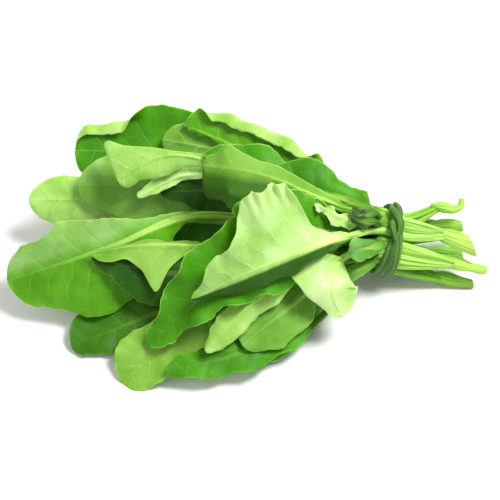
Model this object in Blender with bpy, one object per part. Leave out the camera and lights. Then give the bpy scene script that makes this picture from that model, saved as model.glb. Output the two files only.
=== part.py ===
"""Bunch of spinach tied with a strip of green leaf, lying on its side.

Six plants lie side by side.  Each is one piece: a cut crown, its stalks and their blades grown together.
A seventh piece, the tie, is wound round the stalks.  Lengths are in millimetres until the meshes are made.

The leaves are laid out on a plane that leans back over the table.  A point on it is (along, up, out):
along the bunch toward the cut crowns, up the lean, and out of the plane toward somebody in front.
"""
import math

import bmesh
import bpy
import numpy as np
from mathutils import Vector

# The leaning plane
LEAN = math.radians(50.0)
ALONG = np.array((1.0, 0.0, 0.0))
UP = np.array((0.0, math.sin(LEAN), math.cos(LEAN)))
OUT = np.array((0.0, -math.cos(LEAN), math.sin(LEAN)))
PLANE_HEIGHT = 22.0
RIGHT_OUT = np.array((0.0, 0.0, 1.0))
TABLE_UP = np.array((0.0, UP[2], OUT[2]))

# The tied neck, where every stalk has a seat on one of three rings
NECK = np.array((84.0, 6.0, 0.0))
NECK_WAY = np.array((0.95, -0.21, -0.23)) / math.hypot(0.95, 0.21, 0.23)
NECK_STRAIGHT = 10.0
SEAT_RINGS = {
    "outer": {"half_wide": 18.3, "half_tall": 15.0, "count": 17, "first": 8.0},
    "middle": {"half_wide": 11.9, "half_tall": 8.9, "count": 11, "first": 10.0},
    "inner": {"half_wide": 5.7, "half_tall": 3.1, "count": 4, "first": 0.0},
}

# Stalks and blades
STALK_RADIUS = 2.45
BLADE_THICK = 0.8
RIB_HEIGHT = 0.9
RIB_SPREAD = 0.12
CROWN_SHARE = 0.12
SPLINE_STEPS = 40

# How far a blade opens out of its stalk, and where its round end starts
OPENING = 6.0
END_START = 0.76
END_POWER = 2.2
ACROSS_STEPS = 24
ROLL_FROM = 0.6
ROLL_TO = 0.76
ROLL_EASE = 0.12

# Grid lines: segments along the crown, the stalk and the blade, and places across
HALVES = (-1.0, -0.5, 0.0, 0.5, 1.0)
THIRDS = (-1.0, -0.67, -0.33, 0.0, 0.33, 0.67, 1.0)
ROLLED = (-1.0, -0.5, 0.0, 0.35, 0.6, 0.68, 0.76, 0.88, 1.0)
GRIDS = {
    "fine": (2, 4, 17, THIRDS),
    "rolled": (2, 3, 13, ROLLED),
    "full": (2, 3, 12, THIRDS),
    "plain": (2, 3, 9, HALVES),
    "hidden": (2, 2, 6, HALVES),
}

# Laying one leaf on another
CELL = 1.5
REFINE = 8
LAY_GAP = 0.9
TABLE_GIVE = 3.6
REST_HALF = BLADE_THICK / 2 - 0.05
PRESSED = 0.5
PRESSED_TOP = 0.75
MAP_ALONG = (-180.0, 170.0)
MAP_UP = (-130.0, 120.0)
HELD_TO = 18.0
FREE_FROM = 40.0
SMOOTHINGS = 60

# Crowns, as rings along a path
CROWN_RINGS = 6
CROWN_SIDES = 9

# The tie, a strip wound twice round the neck and knotted
NECK_HALF_WIDE = 20.95
NECK_HALF_TALL = 17.65
TIE_GAP = 0.4
BAND_WIDE = 5.0
BAND_THICK = 1.8
BAND_SPANS = 24
BAND_SIDES = 6
BAND_TURNS = ((-3.8, 0.3, 0.0), (-0.3, 0.0, 0.5), (3.4, -0.3, 1.0))
KNOT_ANGLE = math.radians(95.0)
KNOT_REACH = math.radians(33.0)
KNOT_OUT = 4.6
KNOT_TWIST = 1.9
KNOT_SHIFT = -2.0
KNOT_RADIUS = 2.5
KNOT_RINGS = 8
KNOT_SIDES = 7

# The part's own origin, on the flat of the lowest leaf
REST_SPOT = np.array((-30.0, 17.0, 0.0))
METRES = 0.001
SHORTEST_EDGES = (1e-5, 5e-6, 2e-6, 5e-7, 1e-7)
PLANT_COLOUR = (0.20, 0.42, 0.07)
PLANT_ROUGHNESS = 0.5
TIE_COLOUR = (0.05, 0.16, 0.04)
TIE_ROUGHNESS = 0.5

# Crowns on the leaning plane: points from the stalks to the cut end, the radius at each, and the cut's slant
CROWNS = {
    "a": (((112, 28, 2), (120, 26.5, 2), (126, 25.2, 2), (130.2, 27, 2), (131, 32, 2)),
          (1.2, 3.7, 2.7, 2.2, 1.7), 0.0),
    "b": (((112, 11, 5), (122, 8, 7), (131, 4.5, 8), (137, 2.2, 8)), (1.6, 5.0, 5.6, 5.4), 0.9),
    "c": (((116, -4, 2), (127, -8, 2), (138, -11, 2), (142.5, -12, 2), (146.5, -12.6, 2)),
          (1.6, 4.6, 2.9, 3.2, 2.2), 0.0),
    "d": (((113, -15, -4), (123, -18, -7), (132, -20, -7), (139, -21, -7)), (1.6, 4.6, 3.4, 2.6), 0.3),
    "e": (((110, -1, -13), (120, -2, -18), (128, -3, -20.5), (134, -3.4, -21.5)), (1.6, 4.8, 4.6, 3.2), 0.4),
    "f": (((111, 14, -9), (121, 15, -13), (128, 15, -14.5), (133, 15, -15)), (1.6, 4.8, 4.6, 3.4), 0.2),
}
STALKS_END = 1


def on_table(x, y, z):
    """A point over the table, given in the leaning plane."""
    spot = np.array((x, y, z - PLANE_HEIGHT), float)
    return (x, float(spot @ UP), float(spot @ OUT))


def leaf(name, plant, ring, number, base, middle, tip, upper, lower, **shape):
    """One leaf: its seat, three points of its midrib and the widths of its two halves, base to tip."""
    entry = {
        "name": name, "plant": plant, "ring": ring, "number": number,
        "base": base, "middle": middle, "tip": tip, "upper": upper, "lower": lower,
        "fold": (0.0, 0.0), "curl": (0.0, 0.0), "roll": 0.0, "rolled": (0.0, 1.0),
        "ruffle": 0.0, "scallop": 0.0, "waves": 2.5, "phase": 0.0, "end": END_START, "pointed": 0.0,
        "under": 1, "lie": 0.0, "tone": "fresh", "grid": "full",
    }
    entry.update(shape)
    for key in ("ruffle", "scallop"):
        if not isinstance(entry[key], tuple):
            entry[key] = (entry[key], entry[key])
    return entry


# Blade half widths of the leaves that carry the bunch from below
BROAD = (12.0, 20.0, 24.0, 20.0, 14.0)
NARROW = (10.0, 16.0, 18.0, 16.0, 11.0)
LOW = {"grid": "hidden", "tone": "deep", "ruffle": 1.2, "scallop": 1.0, "lie": 40.0}
BACK = {"grid": "hidden", "tone": "deep", "ruffle": 1.2, "scallop": 1.0, "lie": 62.0}

# From the table up, back to front
LEAVES = [
    leaf("low_middle", "e", "outer", 13, on_table(40, 4, 4), on_table(-20, 10, -0.8), on_table(-104, 20, -0.6),
         BROAD, BROAD, **LOW),
    leaf("low_back", "e", "outer", 14, on_table(30, 22, 8), on_table(-30, 46, 2), on_table(-92, 70, -1),
         BROAD, BROAD, phase=0.3, **LOW),
    leaf("low_front", "e", "outer", 12, on_table(36, -16, 7), on_table(-20, -34, 1), on_table(-84, -50, -1),
         BROAD, BROAD, phase=0.5, **LOW),
    leaf("low_right", "d", "outer", 11, on_table(46, -24, 8), on_table(14, -50, 3), on_table(-24, -68, 0),
         NARROW, NARROW, phase=0.1, **LOW),
    leaf("back_right", "f", "outer", 15, on_table(34, 30, 12), on_table(-4, 56, 8), on_table(-46, 82, 2),
         BROAD, BROAD, phase=0.7, **LOW),
    leaf("second_middle", "e", "middle", 8, on_table(20, 0, 14), on_table(-50, -2, 12), on_table(-122, -6, 8),
         BROAD, BROAD, phase=0.6, **LOW),
    leaf("second_back", "e", "middle", 9, on_table(20, 18, 18), on_table(-40, 34, 20), on_table(-106, 44, 14),
         BROAD, BROAD, phase=0.8, **LOW),
    leaf("back_high", "f", "outer", 16, on_table(30, 30, 24), on_table(-14, 54, 28), on_table(-68, 72, 18),
         BROAD, BROAD, phase=0.4, **BACK),
    leaf("back_near", "f", "middle", 10, on_table(40, 26, 30), on_table(12, 48, 36), on_table(-30, 70, 28),
         NARROW, BROAD, phase=0.2, **BACK),
    leaf("shade_left", "e", "inner", 3, (-12, 22, -12), (-62, 20, -14), (-118, 14, -12),
         (10, 14, 15, 13, 10), (10, 15, 17, 16, 11), ruffle=1.5, tone="deep", grid="plain"),
    leaf("far_left", "f", "inner", 0, (-31, 31, -10), (-87, 32, -10), (-138, 31, -14),
         (9, 13, 14, 15, 15), (9, 14, 17, 18, 17), ruffle=1.5, scallop=0.8, tone="light", curl=(-20, -20),
         grid="plain"),
    leaf("back_top", "f", "middle", 0, (44, 36, -12), (6, 54, -14), (-48, 62, -22),
         (10, 16, 18, 16, 12), BROAD, ruffle=1.5, tone="deep", grid="plain", lie=20),
    leaf("top_left", "f", "outer", 0, (12, 44, -18), (-48, 60, -18), (-109, 62, -20),
         (13, 21, 27, 30, 28, 26), (12, 20, 22, 21, 16), ruffle=1.5, scallop=0.6, tone="bright", under=-1,
         curl=(10, -10), roll=160, rolled=(0.64, 1.1), end=0.93, grid="rolled"),
    leaf("top_round", "a", "middle", 1, (31, 46, -8), (-9, 59, -6), (-54, 68, -10),
         (12, 18, 19, 18, 14), (12, 20, 22, 20, 15), ruffle=2, tone="matte", curl=(-20, -20), grid="plain"),
    leaf("centre_fill", "b", "inner", 1, (10, 16, 2), (-40, 18, 0), (-84, 14, -2),
         (10, 15, 16, 15, 11), (10, 15, 16, 15, 11), ruffle=1.5, tone="dark", grid="plain"),
    leaf("left_round", "b", "middle", 2, (7, 27, 4), (-50, 38, 4), (-106, 40, 0),
         (12, 16, 17, 19, 20, 19), (12, 17, 19, 20, 21, 18), ruffle=2, scallop=0.6, tone="matte",
         curl=(-15, -15), grid="plain"),
    leaf("top_frill", "a", "outer", 1, (52, 33, 6), (17, 52, 10), (-40, 77, 8),
         (12, 20, 26, 27, 26, 26, 22), (12, 20, 20, 13, 6, 4, 3), ruffle=1.2, scallop=1.2, tone="rich",
         under=-1, fold=(5, -20), curl=(10, -20), roll=160, rolled=(0.2, 0.97), waves=5, grid="rolled"),
    leaf("inner_dark", "b", "middle", 2.7, (14, 30, 8), (-20, 36, 10), (-55, 36, 9),
         (12, 12, 10, 8, 6), (10, 13, 14, 12, 8), ruffle=1, scallop=0.6, tone="dark", under=-1, grid="hidden"),
    leaf("left_strip", "b", "middle", 2.4, (-2, 42, 5), (-38, 45.5, 8), (-68, 32, 12),
         (3, 3.5, 5, 6), (2.5, 3, 4, 4), ruffle=1, tone="pale", curl=(30, -30), grid="hidden"),
    leaf("left_point", "b", "middle", 3, (22, 36, 4), (-49, 57, 8), (-80, 42, 8),
         (5, 5, 5, 4, 4, 4, 3, 3, 3, 3.5, 6, 10, 16, 24), (5, 6, 6, 6, 6, 8, 12, 12, 8), ruffle=1.2,
         scallop=0.4, tone="light", curl=(-10, -25), end=0.95, grid="plain"),
    leaf("upper_behind", "a", "outer", 1.5, (52, 27, 16), (12, 47, 20), (-28, 57, 16),
         (7, 8, 10, 14, 14, 10), (6, 8, 9, 9, 8, 7), ruffle=2, scallop=1.2, waves=3.5, tone="bright", under=-1,
         fold=(-10, 0), grid="plain"),
    leaf("top_near", "a", "outer", 2, (73, 26, 10), (46, 34, 17), (12, 46, 14),
         (9.5, 9.5, 9, 10, 14, 17, 17, 16, 14, 11), (3, 4, 6, 8, 8), ruffle=1.2, scallop=0.7, waves=3,
         tone="bright", under=-1),
    leaf("low_left", "d", "middle", 7, (-24, -24, 14), (-66, -42, 22), (-108, -58, 26),
         (10, 15, 18, 14, 17), (10, 15, 16, 15, 12), ruffle=2.0, scallop=1.8, waves=3.5, tone="deep", under=-1,
         lie=20, end=0.86, grid="plain"),
    leaf("low_tip", "d", "middle", 6, (-6, -34, 24), (-44, -51, 32), (-76, -80, 38),
         (9, 12, 14, 16, 19, 19), (12, 16, 18, 18, 19, 18), ruffle=2, scallop=0.8, under=-1, tone="light",
         fold=(20, 10), lie=25),
    leaf("big_left", "c", "inner", 2, (-32, 21, 14), (-84, 2, 20), (-148, -19, 10),
         (4.5, 8, 13, 18, 23, 25, 19, 20), (8, 20, 31, 36, 38, 37, 30, 22), ruffle=2.5, scallop=(0.6, 1.2),
         tone="rich", under=-1, fold=(-16, -10), waves=3, end=0.83),
    leaf("bottom_long", "d", "outer", 10, (40, -43, 24), (-2, -60, 34), (-50, -72, 38),
         (8, 12, 13, 12, 9), (8, 11, 13, 12, 9), ruffle=2.0, scallop=1.4, waves=3.5, tone="bright", under=-1,
         lie=25, grid="plain"),
    leaf("tent_inside", "c", "middle", 5, (-14, -13, 20), (-56, -13, 24), (-95, -5, 26),
         (12, 12, 12, 11, 8, 5), (18, 20, 21, 20, 15, 9), ruffle=1, tone="dark", under=-1, pointed=0.6,
         grid="plain"),
    leaf("tent", "c", "middle", 4.1, (-28, 2, 28), (-60, 3, 33), (-96, -2, 30),
         (6, 6, 6, 5, 4, 3), (5, 14, 29, 14, 7, 8), ruffle=0.8, tone="fresh", fold=(-60, 12), pointed=0.4),
    leaf("oval", "d", "outer", 9, (41, -20, 26), (20, -37, 34), (-5, -56, 38),
         (12, 16, 16, 15, 12), (12, 16, 17, 17, 13), ruffle=1, scallop=0.5, tone="matte", curl=(-20, -20),
         grid="plain"),
    leaf("curled_back", "c", "outer", 7.5, (42, -9, 30), (10, -21, 34), (-24, -45, 36),
         (8, 9, 9, 8, 6), (4, 5, 5, 5, 4), ruffle=1.5, scallop=0.8, tone="rich", under=-1, curl=(0, 30),
         grid="plain"),
    leaf("curled", "c", "outer", 8, (34, -11, 32), (1, -31, 38), (-26, -60, 42),
         (5, 8, 9, 9, 8), (7, 10, 11, 10, 9), ruffle=1.5, scallop=0.6, tone="light", curl=(35, -35), grid="plain"),
    leaf("middle_large", "b", "outer", 4, (53, 4, 28), (-7, -13, 36), (-60, -57, 34),
         (16, 34, 32, 27, 23, 14), (14, 20, 20, 16, 12, 9), ruffle=3.5, scallop=2.0, tone="bright",
         under=-1, fold=(22, 10), waves=5, grid="fine"),
    leaf("upper_middle", "b", "outer", 3, (55, 25, 20), (8, 44, 24), (-28, 50, 20),
         (5, 5.5, 6, 6.5, 7, 7, 7.5, 8, 8.5, 9.5, 11, 13, 15, 8), (4, 6, 11, 18, 24, 26, 23),
         ruffle=(1.0, 2.2), scallop=(0.4, 0.8), fold=(-5, -15), curl=(-10, -30), end=0.94, pointed=0.3),
    leaf("inner_serrated", "b", "outer", 3.8, (60, 9, 26), (30, 14, 33), (-10, 24, 34),
         (8, 16, 20, 20, 16, 10), (6, 8, 9, 9, 8), ruffle=1.2, scallop=0.8, waves=4, tone="bright", under=-1,
         fold=(0, 0), grid="plain"),
    leaf("torn", "b", "outer", 3.3, (67, 17, 34), (54, 19, 38), (38, 27, 38),
         (2, 3, 3, 3, 2), (4, 6, 6, 4, 3), ruffle=1.0, scallop=1.2, waves=3, tone="pale", grid="hidden"),
    leaf("neck_low", "c", "outer", 6.5, (75, -7, 22), (67, -11, 26), (54, -18, 26),
         (3.5, 4.5, 5, 5), (3.5, 4.5, 5, 5), tone="matte", grid="hidden"),
    leaf("right_low", "c", "outer", 7, (54, -6, 35), (48, -22, 41), (54, -40, 38),
         (21, 27, 18, 11, 7), (11, 15, 18, 18, 15), ruffle=(1.0, 0.6), scallop=0.3, tone="pale", fold=(-10, 0),
         curl=(-15, -20)),
    leaf("front", "b", "outer", 5, (58, 8, 38), (14, -7, 44), (-34, -29, 42),
         (4.5, 6, 8, 13, 38, 43, 44, 39, 43, 43, 35, 25, 21, 18, 17, 16, 14, 11, 9),
         (6, 11, 15, 18, 18, 17, 15, 11, 8), ruffle=(2.4, 0.8), scallop=(1.0, 0.3), tone="pale",
         fold=(0, -20), curl=(20, -60), waves=5, pointed=0.7, grid="fine"),
    leaf("neck_bit", "b", "outer", 3.6, (75, 22, 27), (67, 20, 31), (60, 24, 32),
         (3, 5, 5, 4), (3, 4, 5, 4), ruffle=1.6, scallop=0.8, waves=2, tone="dark", under=-1, grid="hidden"),
    leaf("neck_curl", "b", "outer", 4.5, (74, 17, 30), (66, 17, 33), (59, 20, 34),
         (3, 4, 4, 3), (3, 4, 4, 3), ruffle=1.4, scallop=0.8, waves=2, tone="dark", under=-1, grid="hidden"),
    leaf("neck_small", "c", "outer", 6, (80, 2.5, 27), (70, 1.5, 31), (58, -0.5, 32),
         (4, 5, 6, 7, 7), (4, 6, 7, 8, 8), tone="matte", under=-1, grid="plain"),
]


def unit(rows):
    """Rows scaled to length one."""
    return rows / np.maximum(np.linalg.norm(rows, axis=-1, keepdims=True), 1e-9)


def over_table(points):
    """Points of the leaning plane as x, y and height over the table."""
    points = np.asarray(points, float)
    level = np.array((0.0, 0.0, PLANE_HEIGHT))
    return points[..., :1] * ALONG + points[..., 1:2] * UP + points[..., 2:3] * OUT + level


def resting(corners):
    """Corners over the table, the lowest ones pressed flat on it."""
    corners[corners[:, 2] < PRESSED, 2] = 0.0
    return corners


def around_neck(angle, half_wide, half_tall):
    """A point round the neck, in the cut square to the stalks."""
    off = np.array((0.0, half_wide * math.cos(angle), half_tall * math.sin(angle)))
    up = off @ UP
    out = off @ OUT
    along = -(up * NECK_WAY[1] + out * NECK_WAY[2]) / NECK_WAY[0]
    return NECK + np.array((along, up, out))


def seat(entry):
    """Where a leaf's stalk passes the neck, the seats of a ring being evenly spaced along it."""
    ring = SEAT_RINGS[entry["ring"]]
    turn = math.radians(ring["first"]) + np.linspace(0.0, 2 * math.pi, 361)
    round_it = np.array([around_neck(angle, ring["half_wide"], ring["half_tall"]) for angle in turn])
    far = np.concatenate([[0.0], np.cumsum(np.linalg.norm(np.diff(round_it, axis=0), axis=1))])
    share = entry["number"] / ring["count"] * far[-1]
    return np.array([np.interp(share, far, round_it[:, n]) for n in range(3)])


def smooth_line(points):
    """A curve through the points: its dense points, their distance along it, and that of each given point."""
    given = np.asarray(points, float)
    given = np.vstack([2 * given[0] - given[1], given, 2 * given[-1] - given[-2]])
    pieces = []
    for start in range(1, len(given) - 2):
        p0, p1, p2, p3 = given[start - 1:start + 3]
        t1 = math.sqrt(np.linalg.norm(p1 - p0))
        t2 = t1 + math.sqrt(np.linalg.norm(p2 - p1))
        t3 = t2 + math.sqrt(np.linalg.norm(p3 - p2))
        t = np.linspace(t1, t2, SPLINE_STEPS, endpoint=False)[:, None]
        a1 = (t1 - t) / t1 * p0 + t / t1 * p1
        a2 = (t2 - t) / (t2 - t1) * p1 + (t - t1) / (t2 - t1) * p2
        a3 = (t3 - t) / (t3 - t2) * p2 + (t - t2) / (t3 - t2) * p3
        b1 = (t2 - t) / t2 * a1 + t / t2 * a2
        b2 = (t3 - t) / (t3 - t1) * a2 + (t - t1) / (t3 - t1) * a3
        pieces.append((t2 - t) / (t2 - t1) * b1 + (t - t1) / (t2 - t1) * b2)
    pieces.append(given[-2][None])
    line = np.vstack(pieces)
    far = np.concatenate([[0.0], np.cumsum(np.linalg.norm(np.diff(line, axis=0), axis=1))])
    marks = [far[SPLINE_STEPS * n] for n in range(len(given) - 2)]
    return line, far, marks


def soft_curve(knots, values, at):
    """A curve through the values that never overshoots them."""
    gap = np.diff(knots)
    rise = np.diff(values) / gap
    slope = np.zeros(len(knots))
    slope[0] = rise[0]
    slope[-1] = rise[-1]
    for n in range(1, len(knots) - 1):
        if rise[n - 1] * rise[n] > 0:
            slope[n] = 2 * rise[n - 1] * rise[n] / (rise[n - 1] + rise[n])
    n = np.clip(np.searchsorted(knots, at, side="right") - 1, 0, len(knots) - 2)
    s = (at - knots[n]) / gap[n]
    start = (2 * s ** 3 - 3 * s ** 2 + 1) * values[n] + (s ** 3 - 2 * s ** 2 + s) * gap[n] * slope[n]
    end = (-2 * s ** 3 + 3 * s ** 2) * values[n + 1] + (s ** 3 - s ** 2) * gap[n] * slope[n + 1]
    return start + end


def half_width(values, share, stalk, end_start, pointed):
    """Width of one half of a blade at each share of its length."""
    count = len(values)
    knots = np.concatenate([[0.0], (np.arange(count) + 1) / (count + 1), [1.0]])
    width = soft_curve(knots, np.array((stalk, *values, values[-1])), share)
    end = np.clip((share - end_start) / (1 - end_start), 0, 1)
    return np.maximum(width * (1 - end ** END_POWER) ** (0.5 + 0.5 * pointed), 1.0)


def midrib(entry):
    """The leaf's middle line with a frame carried along it, and how far along it the neck and the base are."""
    place = seat(entry)
    crown = np.array(CROWNS[entry["plant"]][0][STALKS_END], float) + CROWN_SHARE * (place - NECK)
    before = place + NECK_STRAIGHT * NECK_WAY
    after = place - NECK_STRAIGHT * NECK_WAY
    line, far, marks = smooth_line([crown, before, after, entry["base"], entry["middle"], entry["tip"]])
    base = marks[3]
    way = unit(np.gradient(line, axis=0))
    face = np.zeros_like(way)
    first = int(np.searchsorted(far, base))
    lie = math.radians(entry["lie"])
    wanted = np.array((0.0, math.sin(lie), math.cos(lie)))
    face[first] = unit(wanted - (wanted @ way[first]) * way[first])
    for n in range(first + 1, len(way)):
        face[n] = unit(face[n - 1] - (face[n - 1] @ way[n]) * way[n])
    for n in range(first - 1, -1, -1):
        face[n] = unit(face[n + 1] - (face[n + 1] @ way[n]) * way[n])
    return line, far, way, face, marks[1] + NECK_STRAIGHT, base


def stations(entry):
    """Distances along a leaf and positions across it where its coarse grid has points."""
    foot, stalk, blade, columns = GRIDS[entry["grid"]]
    line, far, way, face, neck, base = midrib(entry)
    share = 1 - (1 - np.linspace(0, 1, blade + 1)) ** 1.15
    down = np.concatenate([
        np.linspace(0, neck, foot, endpoint=False),
        np.linspace(neck, base, stalk, endpoint=False),
        base + (far[-1] - base) * share,
    ])
    return down, np.array(columns)


def cross_section(entry, half, share, width, opened):
    """How far out to the side and forward one half of a blade runs, rib to margin, and its slope there."""
    reach = (np.arange(ACROSS_STEPS) + 0.5) / ACROSS_STEPS
    fold = math.radians(entry["fold"][half])
    curl = math.radians(entry["curl"][half])
    start, stop = entry["rolled"]
    window = np.clip((share - start) / ROLL_EASE, 0, 1) * np.clip((stop - share) / ROLL_EASE, 0, 1)
    roll = math.radians(entry["roll"]) * (half == 0) * window
    rolled = np.clip((reach - ROLL_FROM) / (ROLL_TO - ROLL_FROM), 0, 1)
    slope = (fold + curl * reach + roll[:, None] * rolled) * opened[:, None]
    step = width[:, None] / ACROSS_STEPS
    nothing = np.zeros((len(share), 1))
    sideways = np.hstack([nothing, np.cumsum(np.cos(slope) * step, axis=1)])
    outward = np.hstack([nothing, np.cumsum(np.sin(slope) * step, axis=1)])
    return sideways, outward, np.hstack([slope[:, :1], slope])


def middle_surface(entry, down, across):
    """The surface in the middle of a leaf's thickness, and its thickness outward and inward of it."""
    line, far, way, face, neck, base = midrib(entry)

    def at_stations(rows):
        return np.stack([np.interp(down, far, rows[:, n]) for n in range(3)], -1)

    centre = at_stations(line)
    way = unit(at_stations(way))
    face = unit(at_stations(face))
    side = np.cross(way, face)
    share = np.clip((down - base) / (far[-1] - base), 0, 1)
    opened = np.clip((down - base) / OPENING, 0, 1)
    radius = np.interp(down, [0, neck, base, far[-1]],
                       [0.8 * STALK_RADIUS, STALK_RADIUS, 0.8 * STALK_RADIUS, 0.4])
    ends_flat = np.sin(math.pi * share) ** 0.4
    halves = []
    for half in (0, 1):
        width = half_width((entry["upper"], entry["lower"])[half], share, 0.8 * STALK_RADIUS,
                           entry["end"], entry["pointed"])
        turn = 2 * math.pi * (entry["waves"] * share + entry["phase"] + 0.37 * half)
        width = width + entry["scallop"][half] * np.sin(turn + 1.2) * ends_flat * opened
        width = np.where(down <= base, radius, width)
        halves.append((turn, cross_section(entry, half, share, width, opened)))
    points = np.zeros((len(down), len(across), 3))
    for column, where in enumerate(across):
        half = 0 if where >= 0 else 1
        turn, section = halves[half]
        step = abs(where) * ACROSS_STEPS
        low = min(int(step), ACROSS_STEPS - 1)
        sideways, outward, slope = (rows[:, low] * (low + 1 - step) + rows[:, low + 1] * (step - low)
                                    for rows in section)
        wave = entry["ruffle"][half] * where ** 2 * np.sin(turn) * ends_flat * opened
        sideways = sideways - wave * np.sin(slope)
        outward = outward + wave * np.cos(slope)
        sign = 1 if half == 0 else -1
        points[:, column] = centre + (sign * sideways)[:, None] * side + outward[:, None] * face
    flat = np.clip((down - base) / (OPENING + 2), 0, 1)[:, None]
    around = radius[:, None] * np.sqrt(1 - (np.abs(across) * 0.94) ** 2)[None]
    rib = BLADE_THICK / 2 + RIB_HEIGHT * radius[:, None] * np.exp(-(across / RIB_SPREAD) ** 2)[None]
    plain = np.full_like(rib, BLADE_THICK / 2)
    outer, inner = (rib, plain) if entry["under"] > 0 else (plain, rib)
    return points, around * (1 - flat) + outer * flat, around * (1 - flat) + inner * flat


def refined(rows, times):
    """A grid with straight steps added between its points."""
    for axis in (0, 1):
        count = rows.shape[axis]
        at = np.linspace(0, count - 1, (count - 1) * times + 1)
        low = np.minimum(at.astype(int), count - 2)
        part = (at - low).reshape([-1 if n == axis else 1 for n in range(rows.ndim)])
        rows = np.take(rows, low, axis) * (1 - part) + np.take(rows, low + 1, axis) * part
    return rows


def lay_leaves():
    """Each leaf's grid, pushed out just far enough to lie over those before it."""
    wide = int((MAP_ALONG[1] - MAP_ALONG[0]) / CELL)
    tall = int((MAP_UP[1] - MAP_UP[0]) / CELL)
    up = MAP_UP[0] + (np.arange(tall) + 0.5) * CELL
    table = (-PLANE_HEIGHT - up * math.cos(LEAN)) / math.sin(LEAN) - TABLE_GIVE
    top = np.tile(table, (wide, 1))
    laid = []
    for entry in LEAVES:
        down, across = stations(entry)
        points, outer, inner = middle_surface(entry, down, across)
        neck = midrib(entry)[4]
        fine = refined(points, REFINE)
        column = np.clip(((fine[..., 0] - MAP_ALONG[0]) / CELL).astype(int), 1, wide - 2)
        row = np.clip(((fine[..., 1] - MAP_UP[0]) / CELL).astype(int), 1, tall - 2)
        steps = [(a, b) for a in (-1, 0, 1) for b in (-1, 0, 1)]
        below = np.max([top[column + a, row + b] for a, b in steps], axis=0)
        need = below + LAY_GAP + refined(inner, REFINE) - fine[..., 2]
        lift = np.zeros(points.shape[:2])
        for a in range(lift.shape[0]):
            for b in range(lift.shape[1]):
                rows = slice(max(a - 1, 0) * REFINE, (a + 1) * REFINE + 1)
                columns = slice(max(b - 1, 0) * REFINE, (b + 1) * REFINE + 1)
                lift[a, b] = need[rows, columns].max()
        ease = np.clip((down - neck - HELD_TO) / (FREE_FROM - HELD_TO), 0, 1)[:, None]
        least = np.maximum(lift, 0) * ease
        push = least.copy()
        for _ in range(SMOOTHINGS):
            edge = np.pad(push, 1, mode="edge")
            mean = (edge[:-2, 1:-1] + edge[2:, 1:-1] + edge[1:-1, :-2] + edge[1:-1, 2:] + 2 * push) / 6
            push = np.maximum(least, mean * ease ** 0.15)
        if entry["roll"]:
            over_it = across > ROLL_FROM / 2
            push[:, over_it] = push[:, over_it].max(axis=1, keepdims=True)
        points[..., 2] += push
        sunk = np.maximum(REST_HALF - over_table(points)[..., 2:], 0)
        points += sunk * TABLE_UP
        laid.append((entry, points, outer, inner, push))
        front = refined(points, REFINE)[..., 2] + refined(outer, REFINE)
        clear = refined(np.repeat(down[:, None], len(across), 1), REFINE) > neck - 10
        np.maximum.at(top, (column[clear], row[clear]), front[clear])
    return laid


def leaf_skin(points, outer, inner):
    """Closed skin of a leaf: corner points over the table and triangles, cut alike on both faces."""
    rows, columns = points.shape[:2]
    along = np.gradient(points, axis=0)
    over = np.gradient(points, axis=1)
    normal = unit(np.cross(over, along))
    front = over_table(points + normal * outer[..., None])
    back = over_table(points - normal * inner[..., None])
    front[..., 2] = np.maximum(front[..., 2], PRESSED_TOP)
    corners = np.vstack([front.reshape(-1, 3), resting(back.reshape(-1, 3))])
    shift = rows * columns
    triangles = []

    def number(row, column):
        return row * columns + column

    for row in range(rows - 1):
        for column in range(columns - 1):
            a = number(row, column)
            b = number(row + 1, column)
            c = number(row + 1, column + 1)
            d = number(row, column + 1)
            pair = ((a, b, c), (a, c, d)) if column < columns // 2 else ((a, b, d), (b, c, d))
            triangles += [(p, r, q) for p, q, r in pair]
            triangles += [(p + shift, q + shift, r + shift) for p, q, r in pair]
    rim = [number(row, 0) for row in range(rows)]
    rim += [number(rows - 1, column) for column in range(1, columns)]
    rim += [number(row, columns - 1) for row in range(rows - 2, -1, -1)]
    rim += [number(0, column) for column in range(columns - 2, 0, -1)]
    for a, b in zip(rim, rim[1:] + rim[:1]):
        triangles += [(a, b, b + shift), (a, b + shift, a + shift)]
    return corners, triangles


def tube(centres, ways, facing, radii, corners, squash=1.0, closed=False):
    """Closed skin swept along the centres: corner points and triangles.

    Each ring has its long half axis square to both its way and its facing, and the short one along its facing.
    """
    turns = 2 * math.pi * np.arange(corners) / corners
    rings = []
    for centre, way, face, radius in zip(centres, ways, facing, radii):
        flat = unit(face - (face @ way) * way)
        side = np.cross(way, flat)
        ring = centre + radius * (np.cos(turns)[:, None] * side + squash * np.sin(turns)[:, None] * flat)
        rings.append(ring)
    points = np.vstack(rings)
    triangles = []
    spans = len(rings) if closed else len(rings) - 1
    for ring in range(spans):
        here = ring * corners
        ahead = (ring + 1) % len(rings) * corners
        for n in range(corners):
            m = (n + 1) % corners
            triangles += [(here + n, ahead + m, here + m), (here + n, ahead + n, ahead + m)]
    if not closed:
        last = (len(rings) - 1) * corners
        triangles += [(0, n, n + 1) for n in range(1, corners - 1)]
        triangles += [(last, last + n + 1, last + n) for n in range(1, corners - 1)]
    return points, triangles


def crown_skin(plant, rings=CROWN_RINGS, sides=CROWN_SIDES):
    """The cut crown that a plant's stalks grow from."""
    path, radii, slant = CROWNS[plant]
    line, far, marks = smooth_line(path)
    at = np.linspace(0, far[-1], rings)
    centres = np.stack([np.interp(at, far, line[:, n]) for n in range(3)], -1)
    ways = unit(np.gradient(centres, axis=0))
    facing = np.repeat(RIGHT_OUT[None], rings, 0)
    around = soft_curve(np.array(marks), np.array(radii, float), at)
    points, triangles = tube(centres, ways, facing, around, sides)
    ring = np.repeat(np.arange(rings), sides)
    across = (points - centres[ring])[:, 1]
    shear = (ring / (rings - 1)) ** 3 * slant * across
    return resting(over_table(points - shear[:, None] * ways[ring])), triangles


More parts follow.
